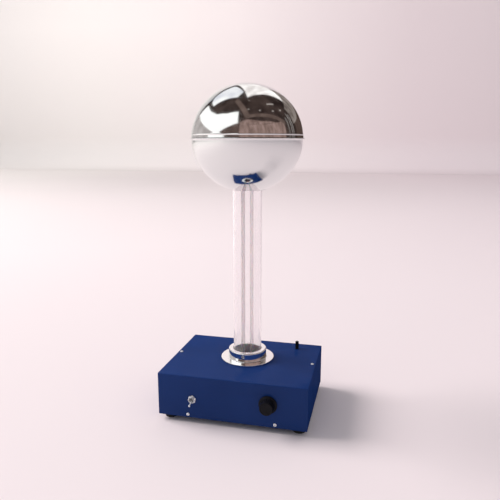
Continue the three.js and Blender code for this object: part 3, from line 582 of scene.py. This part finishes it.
def add_upper_dome():
    """The half that lifts off: a slightly leaning band above the seam, a fine bead, then the dome."""
    s = SPHERE
    band, high = s.band, s.band_high
    shoulder = math.asin((high + 0.25) / s.half)
    outside = arc(0, 0, s.radius, s.half, shoulder, QUARTER, 60)
    inside = arc(0, 0, s.radius - s.wall, s.half - s.wall, QUARTER, shoulder, 60)
    inner, top = band - s.wall, band - s.band_lean
    outline = [(0, s.half - s.wall)] + inside[1:]
    outline += [(inner, high - s.wall, 0.4), (inner, 0.55), (inner + 0.35, 0.3), (band - 0.35, 0.3)]
    outline += [(band, 0.6), (top, high - s.bead_low), (top + s.bead, high - s.bead_high), (top, high)]
    outline += [(outside[0][0] + 0.05, high - 0.1)] + outside[:-1] + [(0, s.half)]
    finished(lathe("upper_dome_shell", outline, sphere_matrix(), FINE, sharp=7), "upper_dome")


def add_joint_ring():
    outer, tall, thick = span_mm("joint_ring", "x") / 2, span_mm("joint_ring", "z"), 1.2
    outline = [(outer - thick, 0, 0.3), (outer, 0, 0.3), (outer, tall - 2.5), (outer - 0.5, tall, 0.4),
               (outer - thick, tall, 0.3)]
    finished(lathe("joint_spigot", outline, on_axis(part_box("joint_ring")[0].z), FINE), "joint_ring")


def add_hub():
    outer, tall = span_mm("sphere_hub", "x") / 2, span_mm("sphere_hub", "z")
    inner, low = NECK.radius + NECK.wall + HUB.gap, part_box("sphere_hub")[0].z
    outline = [(inner, 0, 0.4), (outer, 0, 0.8), (outer, tall, 0.8), (inner, tall, 0.4)]
    ring = lathe("sphere_clamp_ring", outline, on_axis(low), FINE)
    drills = []
    for i in range(3):
        angle = -QUARTER + i * FULL / 3
        matrix = placed(AXIS + Z * (low + tall / 2 * MM), Vector((math.cos(angle), math.sin(angle), 0)))
        drills.append(hole(HUB.drill, inner - 2, outer + 2, matrix, SMALL))
        node = f"hub_screw_{i + 1}"
        finished(grub_screw("neck_" + node, HUB.screw, inner + 0.3, outer + 0.3, matrix), node)
    finished(cut(ring, drills), "sphere_hub")


# ---- column


def grub_screw(name, radius, low, high, matrix):
    """A headless screw with fine threads, a chamfered end and a hex socket."""
    pitch, depth = 0.5, 0.14
    outline = [(0, low), (radius - 0.4, low), (radius - depth, low + 0.3)]
    for i in range(int((high - low - 1.2) / pitch)):
        at = low + 0.5 + i * pitch
        outline += [(radius - depth, at), (radius, at + pitch / 2)]
    outline += [(radius - depth, high - 0.4), (radius - 0.35, high), (0, high)]
    screw = lathe(name, outline, matrix, SMALL)
    return cut(screw, [prism("cutter", hexagon(radius * 0.58), high - radius * 1.1, high + 1, matrix)])


def add_collar():
    """A turned and polished flange: thin plate, fillet, and a thick ring with a broad rounded rim."""
    c = COLLAR
    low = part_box("column_collar")[0].z
    outline = [
        (c.bore, 0, 0.2), (c.flange, 0, 0.3), (c.flange, c.thick, 0.7),
        (c.ring, c.thick, 1.4), (c.ring, c.height, 2.3), (c.bore, c.height, 1.5),
    ]
    ring = lathe("collar_ring", outline, on_axis(low), FINE, steps=10, sharp=60)
    front = forwards(AXIS.x, AXIS.y, low + c.screw_at * MM)
    mouth = [(0, c.ring - 1), (c.screw, c.ring - 1), (c.mouth, c.ring + 1), (0, c.ring + 1)]
    cutters = [hole(c.screw + 0.25, c.bore - 2, c.ring + 2, front, SMALL), lathe("cutter", mouth, front)]
    for node in COLLAR_BOLTS:
        at = middle(node)
        cutters.append(hole(HOLES.bolt, -2, 10, Matrix.Translation((at.x, at.y, low)), SMALL))
    # The collar takes the lighter copy of the mirror steel, as painted light.
    finished(cut(ring, cutters, sharp=30), "column_collar").data.materials[0] = COLLAR_STEEL_PAINTED_LIGHTER
    screw = grub_screw("collar_grub_screw", c.screw, c.bore + 0.3, c.ring - 0.3, front)
    finished(screw, "collar_set_screw")


def add_tube():
    t, tall = TUBE, span_mm("column_tube", "z")
    outline = [(t.bore, 0, t.edge), (t.outer, 0, t.edge), (t.outer, tall, t.edge),
               (t.bore, tall, t.edge)]
    finished(lathe("clear_tube", outline, on_axis(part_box("column_tube")[0].z), FINE), "column_tube")


def add_belt():
    """A closed loop round both rollers, thinned a little towards its edges."""
    low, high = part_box("drive_belt")
    b = BELT
    outer, width = b.inner + b.thick, span_mm("drive_belt", "y")
    bottom, top = low.z / MM + outer, high.z / MM - outer
    path = []
    for first, start, end in ((math.pi, bottom, top), (0, top, bottom)):
        for i in range(b.bends + 1):
            angle = first + math.pi * i / b.bends
            path.append((math.cos(angle), math.sin(angle), start))
        side = 1 if end > start else -1
        path += [(side, 0, at) for at in spread(start, end, b.runs)[1:-1]]
    bm = bmesh.new()
    rings = []
    for dx, dz, height in path:
        ring = []
        for side, radius in ((0, b.inner), (1, outer)):
            for j in range(b.rows + 1):
                across = (j if side else b.rows - j) / b.rows * 2 - 1
                soft = b.soft * max(0, abs(across) - (1 - b.edge)) / b.edge
                r = radius - soft if side else radius + soft
                at = Vector((AXIS.x + dx * r * MM, AXIS.y + across * width / 2 * MM, (height + dz * r) * MM))
                ring.append(bm.verts.new(at))
        rings.append(ring)
    for i, ring in enumerate(rings):
        following = rings[(i + 1) % len(rings)]
        for j in range(len(ring)):
            k = (j + 1) % len(ring)
            bm.faces.new((ring[j], ring[k], following[k], following[j]))
    finished(mesh_object("belt_loop", bm, 60), "drive_belt")


# ---- head, under the upper half


def add_rollers():
    """Crowned rollers with chamfered ends and a bearing let into each end."""
    r = ROLLER
    for node in ("upper_roller", "lower_roller"):
        half = span_mm(node, "y") / 2
        barrel = []
        for i in range(13):
            t = i / 6 - 1
            barrel.append((r.radius - r.crown * t * t - (0.15 if abs(t) == 1 else 0), t * (half - 0.4)))
        ends = [(r.bore, 0.8 - half), (3.6, 0.8 - half, 0.1), (r.bearing, -half, 0.1), (r.end, -half)]
        outline = ends + barrel + below(ends)
        finished(lathe(node + "_drum", outline, placed(middle(node), Y)), node)


def add_axle():
    """A pin with a groove for a clip near each end."""
    half, full, slim = span_mm("upper_axle", "y") / 2, AXLE.radius, AXLE.groove
    near, far = half - AXLE.near, half - AXLE.far
    upper = [(full, far), (slim, far), (slim, near), (full, near), (full, half, 0.4), (0, half)]
    pin = lathe("upper_axle_pin", below(upper) + upper, placed(middle("upper_axle"), Y), SMALL)
    finished(pin, "upper_axle")


# ---- base: cover, pan, feet, screws


def holes(nodes, radius, axis, reach=9):
    """Cutters through a sheet where screws or bushings pass."""
    return [hole(radius, -reach, reach, placed(middle(node), axis)) for node in nodes]


def swapped(first, second, third):
    """The matrix whose columns are these three directions."""
    return Matrix((first, second, third)).transposed().to_4x4()


def add_cover():
    """Top, front and back, folded from one sheet."""
    low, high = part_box("base_cover")
    t, bend, width = SHEET.thick, SHEET.bend, span_mm("base_cover", "x")
    front, back, bottom, top = low.y / MM, high.y / MM, low.z / MM, high.z / MM
    outline = filleted([
        (front, bottom), (front, top, bend), (back, top, bend), (back, bottom), (back - t, bottom),
        (back - t, top - t, bend - t), (front + t, top - t, bend - t), (front + t, bottom),
    ], 8)
    sheet = bevelled(prism("cover_sheet", outline, -width / 2, width / 2, swapped(Y, Z, X)), 0.18, 2, 50)
    cutters = [hole(HOLES.column, -10, 10, on_axis(high.z), FINE)]
    cutters += holes(TOP_SCREWS, HOLES.screw, Z) + holes(COLLAR_BOLTS, HOLES.bolt, Z)
    cutters += holes(["ground_washer"], HOLES.post, Z) + holes(END_SCREWS, HOLES.screw, Y)
    for node, radius in (("switch_nut", HOLES.switch), ("pot_nut", HOLES.pot)):
        at = middle(node)
        cutters.append(hole(radius, -5, 5, placed((at.x, low.y, at.z), Y)))
    x, z = middle("inlet_body").x / MM, middle("inlet_body").z / MM
    half_x, half_z = INLET_CUT
    cutters.append(box("cutter", (x - half_x, back - 4, z - half_z), (x + half_x, back + 4, z + half_z)))
    finished(cut(sheet, cutters), "base_cover")


def add_pan():
    """Floor and sides, folded in at the top, with a flange welded to the floor at the front and back."""
    low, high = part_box("base_pan")
    t, bend, lip = SHEET.thick, SHEET.bend, SHEET.lip
    side, bottom, top, front, back = high.x / MM, low.z / MM, high.z / MM, low.y / MM, high.y / MM
    outer = [(side - lip, top), (side, top, bend), (side, bottom, bend),
             (-side, bottom, bend), (-side, top, bend), (lip - side, top)]
    inner = [(lip - side, top - t), (t - side, top - t, bend - t), (t - side, bottom + t, bend - t),
             (side - t, bottom + t, bend - t), (side - t, top - t, bend - t), (side - lip, top - t)]
    sheet = prism("pan_sheet", filleted(outer + inner, 8), -back, -front, swapped(X, Z, -Y))
    flanges = [box("flange", (lip - side, near, bottom + 0.2), (side - lip, far, bottom + lip))
               for near, far in ((front, front + t), (back - t, back))]
    sheet = cut(sheet, flanges, "UNION")
    cutters = holes(FEET, HOLES.foot, Z, 12) + holes(TOP_SCREWS, HOLES.screw, Z)
    finished(cut(sheet, cutters + holes(END_SCREWS, HOLES.screw, Y)), "base_pan")


def add_feet():
    """Tapered rubber bumpers with a soft lower edge, a dished underside and a barbed stem."""
    outline = [
        (0, 0.6), (6.5, 0.6, 0.5), (7.2, 0, 0.4), (10.8, 0, 1.2), (11.3, 3.2), (11.0, 3.6, 0.2),
        (11.5, 4.0, 0.2), (12.1, 9.7, 0.9), (3.1, 9.7), (2.8, 10.2), (2.8, 11.5), (4.0, 11.8, 0.3),
        (2.5, 13.9, 0.6), (0, 13.9),
    ]
    for node in FEET:
        at = middle(node)
        finished(lathe("rubber_" + node, outline, Matrix.Translation((at.x, at.y, 0))), node)


def add_case_screws():
    """Pan-head screws with a domed head, a cross recess and a threaded shank."""
    c = CASE_SCREW
    head, thick, shank, tip = c.head, c.thick, c.shank, -c.long
    outline = [(0, tip), (0.9, tip), (shank - 0.15, tip + 0.6)]
    for i in range(9):
        at = tip + 0.8 + i * 0.5
        outline += [(shank - 0.18, at), (shank, at + 0.25)]
    outline += [(shank - 0.1, 0.1), (head, 0.1, 0.15), (head, 0.75, 0.4), (2.2, 1.45, 1.2), (0.9, thick),
                (0, thick)]
    slot = [(-c.cross, -c.slot), (c.cross, -c.slot), (c.cross, c.slot), (-c.cross, c.slot)]
    low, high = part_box("base_cover")
    sides = (("top", Z, "z", high.z), ("front", -Y, "y", low.y), ("rear", Y, "y", high.y))
    for side, outwards, axis, level in sides:
        for i in (1, 2):
            node = f"{side}_screw_{i}"
            seat = middle(node)
            setattr(seat, axis, level)
            matrix = placed(seat, outwards, 0.35 + 0.8 * i)
            screw = lathe("case_" + node, outline, matrix, SMALL)
            cross = [prism("cutter", slot, thick - c.deep, thick + 1, matrix @ Matrix.Rotation(turn, 4, "Z"))
                     for turn in (0, QUARTER)]
            finished(cut(screw, cross), node)


# ---- controls


def threads(radius, low, high, pitch=0.8, depth=0.3):
    points = []
    at = low
    while at + pitch <= high:
        points += [(radius - depth, at), (radius, at + pitch / 2)]
        at += pitch
    return points + [(radius - depth, at)]


def add_nut(name, corner, bore, matrix, node):
    """A nut with chamfered corners, cut from a turned blank, with its back where the CAD node's is."""
    low, thick, chamfer = (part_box("base_cover")[0].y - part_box(node)[1].y) / MM, NUT.thick, NUT.chamfer
    nut = prism(name, hexagon(corner), low, low + thick, matrix)
    high, wide, face = low + thick, corner + 0.1, corner - 0.9
    blank = [(bore, low), (face, low), (wide, low + chamfer), (wide, high - chamfer), (face, high),
             (bore + 0.5, high), (bore, high - 0.5)]
    finished(cut(nut, [lathe("cutter", blank, matrix)], "INTERSECT", sharp=25), node)


def add_switch():
    """A toggle: threaded bushing, nut, and a bat lever that rests tilted down."""
    s = SWITCH
    low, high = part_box("switch_body")
    face, x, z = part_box("base_cover")[0].y, middle("switch_nut").x, middle("switch_nut").z
    matrix = forwards(x, face, z)
    out, bore, rear = (face - low.y) / MM, s.bore, s.rear
    barrel = [(bore, rear), (s.bushing, rear)] + threads(s.bushing, -1.2, out - 0.5)
    bushing = lathe("toggle_bushing", barrel + [(5.0, out, 0.1), (4.6, out, 0.15), (bore, -4)], matrix)
    half_x, half_z = span_mm("switch_body", "x") / 2, span_mm("switch_body", "z") / 2
    case = box("case", (x / MM - half_x, face / MM + 1.5, z / MM - half_z),
               (x / MM + half_x, high.y / MM, z / MM + half_z))
    well = hole(bore, s.well, 0, matrix)
    finished(cut(cut(bushing, [bevelled(case, 0.6, 3)], "UNION"), [well]), "switch_body")
    turned = matrix @ Matrix.Rotation(s.nut_turn, 4, "Z")
    add_nut("toggle_nut", s.nut, HOLES.switch, turned, "switch_nut")

    hanging = matrix @ Matrix.Translation(Z * -s.pivot * MM) @ Matrix.Rotation(math.radians(s.tilt), 4, "X")
    ball, reach = s.ball, s.reach
    outline = [(0, -ball)] + arc(0, 0, ball, ball, -QUARTER, math.radians(55), 10)[1:]
    outline += [(1.0, 1.9), (1.0, 8), (1.1, 11), (1.35, 14.5), (1.7, 17.4)]
    outline += arc(0, reach - ball, ball, ball, 0, QUARTER, 10)[:-1] + [(0, reach)]
    finished(lathe("toggle_lever", outline, hanging, SMALL * 2), "switch_lever")


def add_speed_control():
    """A skirted, fluted knob with a pointer line, over the pot's nut and shaft."""
    low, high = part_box("speed_knob")
    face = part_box("base_cover")[0].y
    matrix = forwards(middle("speed_knob").x, face, middle("speed_knob").z)
    k, p = KNOB, POT
    near, out = (face - high.y) / MM, (face - low.y) / MM
    grip_low, grip_high, cap = near + 4.2, out - 0.9, k.cap

    def fluted(radius, height, angle):
        if not grip_low < height < grip_high + 0.3 or radius < cap - 0.6:
            return radius
        ease = min(1, (height - grip_low) / 1.5, (grip_high + 0.3 - height) / 1.0)
        return radius - k.flute * 0.55 * ease * max(0, math.cos(angle * k.flutes))

    grip = [(cap + 1.3 - 1.3 * t / 10, grip_low + (grip_high - grip_low) * t / 10) for t in range(11)]
    outline = [(0, k.deep), (k.bore, k.deep), (k.bore, k.shaft), (k.hollow, k.shaft),
               (k.hollow, near, 0.3), (k.skirt, near, 0.5), (k.skirt, near + 1.6, 0.6),
               (cap + 2.0, near + 3.4, 0.8)]
    outline += grip + [(cap - 0.1, out, 0.9), (cap - 1.6, out, 0.2), (cap - 2.0, out - 0.35, 0.15)]
    outline += [(0, out - 0.35)]
    knob = lathe("speed_knob_shell", outline, matrix, k.flutes * 10, steps=6, radius_at=fluted, sharp=50)
    mark = box("cutter", (-k.mark, 3.5, out - 0.75), (k.mark, cap + 3, out + 1),
               matrix @ Matrix.Rotation(math.radians(k.mark_turn), 4, "Z"))
    finished(cut(knob, [mark], sharp=50), "speed_knob")
    add_nut("pot_hex_nut", p.nut, HOLES.pot, matrix, "pot_nut")
    rear, tip = ((face - end.y) / MM for end in reversed(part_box("pot_shaft")))
    shaft = [(0, rear), (p.shaft, rear, 0.3), (p.shaft, tip, 0.5), (0, tip)]
    finished(lathe("pot_spindle", shaft, matrix, SMALL), "pot_shaft")
    front, far = p.front, (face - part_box("pot_body")[1].y) / MM
    body = [(p.bore, far + 1), (p.bore, far, 0.2), (p.case, far, 0.8), (p.case, front, 0.8)]
    body += [(p.bushing, front)] + threads(p.bushing, front + 0.3, 4.2, 0.75, 0.25)
    finished(lathe("pot_case", body + [(4.4, 5, 0.2), (p.bore, 5, 0.2)], matrix), "pot_body")


def add_ground_post():
    """A slim knurled cap on a brass stud, over a plain insulating washer."""
    p = POST
    tall, radius = span_mm("ground_cap", "z"), p.radius

    def knurled(r, height, angle):
        if r < radius - 0.05 or not 1.4 < height < tall - 1.0:
            return r
        return r - p.knurl * (0.5 + 0.5 * math.cos(angle * p.ribs))

    outline = [(0, p.deep), (p.bore, p.deep), (p.bore, 0.3), (2.6, 0, 0.1), (radius - 0.4, 0)]
    outline += [(radius, 0.6), (radius, 1.2)] + [(radius, 1.5 + (tall - 2.8) * i / 12) for i in range(13)]
    outline += [(radius, tall - 0.9), (radius - 0.7, tall, 0.5), (1.2, tall, 0.1), (1.0, tall - 0.25)]
    outline += [(0, tall - 0.25)]
    cap = lathe("ground_post_cap", outline, upright("ground_cap"), p.ribs * 8, radius_at=knurled, sharp=50)
    finished(cap, "ground_cap")
    inner, outer, height = p.washer_bore, p.washer, span_mm("ground_washer", "z")
    washer = [(inner, 0), (outer, 0, 0.2), (outer, height, 0.5), (inner, height, 0.2)]
    finished(lathe("ground_post_washer", washer, upright("ground_washer")), "ground_washer")


# ---- small fittings and the pieces that stay inside


def add_broken_edges():
    """Copies of CAD nodes with their edges broken: by how many millimetres, in how many steps, and which."""
    for edge, segments, nodes in (
        (0.2, 2, ["ground_stud"]),
        (0.6, 3, ["inlet_body"]),
        (0.45, 3, [f"inlet_pin_{which}" for which in ("line", "earth", "neutral")]),
        (0.3, 2, ["motor_bracket", "bearing_bracket", "lower_comb_bracket", "control_board",
                  "board_heat_sink", *COLLAR_BOLTS, "upper_yoke"]),
        (0.08, 1, ["lower_comb", "upper_comb"]),
        (0.2, 2, [f"board_standoff_{i}" for i in (1, 2, 3, 4)]),
    ):
        for node in nodes:
            finished(from_node(node, edge, segments), node)


def add_motor():
    """A turned can with a lid, the shaft with a slotted core, and the bearing at the shaft's far end."""
    can, bore, boss = MOTOR.can, MOTOR.bore, MOTOR.boss
    matrix = forwards(AXIS.x, AXIS.y, middle("motor_can").z)

    def ends(node):
        """Where a node starts and ends, in millimetres forward of the axis."""
        low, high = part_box(node)
        return (AXIS.y - high.y) / MM, (AXIS.y - low.y) / MM

    back, front = ends("motor_can")
    shell = [(bore, back), (boss, back, 0.4), (boss, back + 4), (can, back + 4, 1.5), (can, front - 3),
             (can - 0.3, front - 3), (can - 0.3, front - 2.2), (can, front - 2.2), (can, front, 0.2),
             (16.5, front), (16.5, back + 5.5, 1), (bore, back + 5.5)]
    finished(lathe("motor_shell", shell, matrix), "motor_can")
    far = ends("motor_end_cap")[1]
    lid = [(bore, front - 3), (16.2, front - 3, 0.3), (16.2, front + 0.3), (can, front + 0.3, 0.2),
           (can, far, 0.8), (boss, far, 0.3), (bore, far)]
    finished(lathe("motor_lid", lid, matrix), "motor_end_cap")

    r = ROTOR
    rear, front = r.core_rear, r.core_front

    def slotted(radius, height, angle):
        if radius < r.core - 0.5 or not rear < height < front:
            return radius
        return radius - r.slot * max(0, math.cos(angle * r.slots)) ** 4

    rotor = [(0, r.rear), (r.shaft, r.rear, 0.3), (r.shaft, rear), (r.core, rear, 0.2)]
    rotor += [(r.core, at) for at in spread(rear + 0.5, front - 0.5, 8)] + [(r.core, front, 0.2)]
    rotor += [(r.shaft, front), (r.shaft, r.drive_rear), (r.drive, r.drive_rear, 0.3)]
    rotor += [(r.drive, r.drive_front, 0.3), (r.shaft, r.drive_front), (r.shaft, r.front, 0.3), (0, r.front)]
    finished(lathe("motor_shaft_and_armature", rotor, matrix, 144, radius_at=slotted), "motor_rotor")
    back, front = ends("lower_bearing")
    bearing = [(bore, back, 0.2), (boss, back, 0.4), (boss, front, 0.4), (bore, front, 0.2)]
    finished(lathe("lower_bearing_bush", bearing, matrix), "lower_bearing")


def add_capacitor():
    """A can with a crimped waist and a shallow top."""
    tall, radius = span_mm("board_capacitor", "z"), 8
    outline = [(0, 0), (radius, 0, 0.6), (radius, 2), (7.5, 2.6), (7.5, 3.2), (radius, 3.8),
               (radius, tall, 0.9), (6.6, tall, 0.2), (6.3, tall - 0.3), (0, tall - 0.3)]
    finished(lathe("board_capacitor_can", outline, upright("board_capacitor")), "board_capacitor")


# ---- floor, light and the room that the metal mirrors

ROOM_FAR = 3.2  # how far the mirrored room is from the sphere, in metres
BACKDROP = Sizes(side=16.0, near=-14.0, far=8.6, bend=0.6, high=9.0)


def glow(name, colour, other, scale, detail):
    """A light-giving surface for the room that only mirrors see, mottled between two colours."""
    p = Paint(name)
    p.nodes.remove(p.shader)
    mottle = p.span(p.noise(1.0, detail, p.stretched(scale)), 0, 1, 0.35, 0.65)
    light = p.node("Emission", {"Color": p.mix(mottle, colour, other)})
    return p.showing(light)


def heading(turn, rise):
    """A direction from the sphere: degrees round from the front towards the right, and degrees up."""
    turn, rise = math.radians(turn), math.radians(rise)
    return Vector((math.sin(turn) * math.cos(rise), -math.cos(turn) * math.cos(rise), math.sin(rise)))


def add_panel(name, share, faces, *paint):
    """A panel of the mirrored room. Only reflections see it, so it lights nothing and throws no shadow."""
    centre = sphere_matrix().translation
    bm = bmesh.new()
    for face in faces:
        bm.faces.new([bm.verts.new(centre + heading(*corner) * ROOM_FAR * share) for corner in face])
    obj = linked(name, mesh_from(name, bm))
    obj.data.materials.append(glow(name, *paint))
    for ray in ("camera", "diffuse", "transmission", "shadow"):
        setattr(obj, "visible_" + ray, False)


def patch(turn_from, turn_to, rise_from, rise_to):
    """The four corners of one face of the room's dome."""
    return [(turn_from, rise_from), (turn_to, rise_from), (turn_to, rise_to), (turn_from, rise_to)]


def grid(turn_from, turn_to, rise_from, rise_to, step=8.0):
    """Faces that cover a patch of the room's dome."""
    across, up = max(1, round((turn_to - turn_from) / step)), max(1, round((rise_to - rise_from) / step))
    turns, rises = spread(turn_from, turn_to, across), spread(rise_from, rise_to, up)
    return [patch(turns[i], turns[i + 1], rises[j], rises[j + 1]) for i in range(across) for j in range(up)]


def add_room():
    """A dim room in front of the sphere: tall windows at the left, a timber beam and a curtained wall.

    Each panel has a name, its share of the room's distance, its faces as (turn, rise) in degrees, two
    colours, the stretch of the mottling between them and its detail.
    """
    top = 89.0
    drapes = grid(-2, 30, 4, 27) + grid(30, 98, 0.5, 27)
    drapes += [[(-2, 27), (12, 27), (12, 38), (-2, 32)], [(12, 27), (45, 27), (45, 33), (12, 38)],
               [(45, 27), (78, 27), (78, 27.5), (45, 33)]]
    low_window = [(-121, 20), (-88, 17), (-49, 7), (-6, 30), (-11, 54), (-40, 46), (-66, 39), (-90, 37),
                  (-115, 35)]
    high_window = [(-97, 43), (-112, 40), (-127, 39), (-154, 43), (-153, 60), (-152, 73), (-90, 77),
                   (-96, 55)]
    beam = [[(-78, 77), (-58, 71), (10, 40), (20, 48)], [(10, 40), (101, 20), (103, 26), (20, 48)]]
    spots = ((31, 81), (18, 60), (52, 55), (88, 47), (110, 42))
    spots = [patch(turn - 2, turn + 2, rise - 1, rise + 1) for turn, rise in spots]
    strip = [(92, 60), (112, 53), (112, 55), (92, 62)]
    frames = [patch(turn, turn + 1.6, 4, rise) for turn, rise in ((108, 30), (116, 34), (121, 31))]
    pale, low_wall, grey_wall = grid(148, 202, 36, top), grid(-52, -2, 4, 30), grid(-125, -52, 3, 20)
    ceiling = grid(-158, 148, 37, top) + grid(-125, 30, 4, 37) + grid(30, 148, 0.5, 37)
    tall = (5.0, 5.0, 0.3)
    for name, share, faces, colour, other, scale, detail in (
        ("ceiling", 1.0, ceiling, (0.026, 0.016, 0.015), (0.080, 0.054, 0.047), (0.8, 0.8, 0.8), 5),
        ("pale_ceiling", 1.0, pale, (1.38, 1.31, 1.29), (0.78, 0.70, 0.68), (2.6, 0.7, 0.7), 4),
        ("curtains", 0.98, drapes, (0.23, 0.15, 0.13), (0.43, 0.29, 0.26), (3.4, 3.4, 0.15), 1),
        ("low_wall", 0.98, low_wall, (0.085, 0.055, 0.048), (0.15, 0.10, 0.088), (1.5, 1.5, 0.6), 3),
        ("grey_wall", 0.97, grey_wall, (0.47, 0.42, 0.41), (0.66, 0.60, 0.59), (1.2, 1.2, 1.2), 3),
        ("windows", 0.9, [low_window], (1.45, 1.42, 1.40), (1.28, 1.26, 1.25), (0.8, 0.8, 0.8), 1),
        ("high_windows", 0.9, [high_window], (1.30, 1.28, 1.27), (0.86, 0.86, 0.94), (1.1, 1.1, 1.1), 1),
        ("beam", 0.85, beam, (0.20, 0.14, 0.12), (0.13, 0.088, 0.076), (2, 2, 2), 4),
        ("lamps", 0.84, spots + [strip], (0.75, 0.66, 0.62), (0.75, 0.66, 0.62), (1, 1, 1), 0),
        ("door", 0.86, frames, (0.55, 0.50, 0.48), (0.30, 0.26, 0.25), (1, 1, 1), 2),
        ("corner", 0.95, grid(132, 176, 0.5, 17), (0.030, 0.018, 0.015), (0.12, 0.080, 0.068), tall, 2),
        ("cornice", 0.95, grid(128, 176, 17, 38), (0.12, 0.090, 0.080), (0.40, 0.34, 0.31), tall, 2),
    ):
        add_panel("room_" + name, share, faces, rgba(*colour), rgba(*other), scale, detail)


def add_floor():
    """One pale sweep: a floor that curves up into a wall far behind.

    Painted light makes it warmer and lighter at the left, where the lamp is, and high on the wall at the
    left; painted shade darkens it at the lamp's foot, far away, towards the far left and low on the wall.
    """
    p = Paint("pale_sweep", Specular_IOR_Level=0.1, Roughness=0.9)
    across, away, up = p.along("X"), p.along("Y"), p.along("Z")
    left = p.span(across, 1, 0, -6.5, 0.5)
    # Painted light: the floor is painted warmer and lighter towards the lamp at the left.
    painted_lamp_warmth = p.mix(p.noise(0.35, 2), rgba(0.865, 0.82, 0.79), rgba(0.855, 0.81, 0.78))
    ground = p.mix(p.span(across, 0, 1, -5.0, 0.8), painted_lamp_warmth, rgba(0.85, 0.745, 0.757))
    # Painted shade round the foot of the lamp.
    painted_shade_near_lamp = p.span(p.distance((-7.6, -0.3, 0)), 1, 0, 1.5, 5.5)
    pale = p.mix(painted_shade_near_lamp, ground, rgba(0.50, 0.475, 0.465))
    # Painted shade towards the far left and further away.
    painted_shade_far_left = p.span(p.distance((-3.4, 5.0, 0)), 0.84, 1.0, 1.0, 4.4)
    floor_painted_shade = p.maths("MULTIPLY", p.span(away, 1.0, 0.92, 0.9, 5.0), painted_shade_far_left)
    # Painted shade low on the wall at the left, painted light high on the wall at the left.
    low, high = p.span(left, 1.0, 0.90, 0.4, 1.0), p.span(left, 1.0, 1.10, 0.0, 0.4)
    wall_painted_light_and_shade = p.between(p.span(up, 0, 1, 0.3, 2.6), low, high)
    # The painted light and shade scale the floor's colour.
    painted_light_and_shade = p.between(p.span(up, 0, 1, 0.0, 0.08), floor_painted_shade, wall_painted_light_and_shade)
    colour_with_painted_light = p.node("VectorMath", {0: pale, "Scale": painted_light_and_shade}, operation="SCALE").outputs["Vector"]
    p.feed("Base Color", colour_with_painted_light)
    b = BACKDROP
    outline = [(b.near, 0.0), (b.far - b.bend, 0.0)]
    outline += arc(b.far - b.bend, b.bend, b.bend, b.bend, -QUARTER, 0, 16)
    outline += [(b.far, b.high)]
    bm = bmesh.new()
    left, right = ([bm.verts.new((side, y, z)) for y, z in outline] for side in (-b.side, b.side))
    for i in range(len(outline) - 1):
        bm.faces.new((left[i], right[i], right[i + 1], left[i + 1]))
    floor = mesh_object("pale_floor", bm, 60)
    floor.data.materials.append(p.material)


def lamp(name, at, aim, size, power, colour):
    data = bpy.data.lights.new(name, "AREA")
    data.shape = "DISK"
    data.size = size
    data.energy = power
    data.color = colour
    light = linked(name, data)
    light.location = at
    light.rotation_euler = (Vector(aim) - Vector(at)).to_track_quat("-Z", "Y").to_euler()
    light.visible_glossy = False


def add_light():
    """A pale sky all round, and one broad soft lamp high on the left."""
    world = bpy.data.worlds.new("studio")
    world.use_nodes = True
    background = world.node_tree.nodes["Background"]
    background.inputs["Color"].default_value = rgba(0.90, 0.945, 1.0)
    background.inputs["Strength"].default_value = 0.52
    SCENE.world = world
    lamp("key", (-7.6, 0.5, 6.2), (0, 0, 0.1), 6.0, 955, (1.0, 0.95, 0.945))
    lamp("wall_wash", (-9.5, 5.5, 7.0), (-7.0, 8.6, 4.0), 2.0, 45, (1.0, 0.98, 0.96))


def set_view():
    SCENE.view_settings.view_transform = "Standard"
    SCENE.view_settings.look = "None"
    SCENE.cycles.max_bounces = 14
    SCENE.cycles.transmission_bounces = 12
    SCENE.cycles.transparent_max_bounces = 12
    SCENE.cycles.glossy_bounces = 8
    SCENE.cycles.caustics_refractive = False
    SCENE.cycles.caustics_reflective = False


add_camera()
add_floor()
add_room()
add_light()
set_view()

add_lower_dome()
add_upper_dome()
add_joint_ring()
add_hub()
add_collar()
add_tube()
add_belt()
add_rollers()
add_axle()
add_cover()
add_pan()
add_feet()
add_case_screws()
add_switch()
add_speed_control()
add_ground_post()
add_broken_edges()
add_motor()
add_capacitor()

for node_name, node_object in frame["nodes"].items():
    node_object.data.materials.clear()
    node_object.data.materials.append(MATERIALS[SLOT_OF[node_name]])
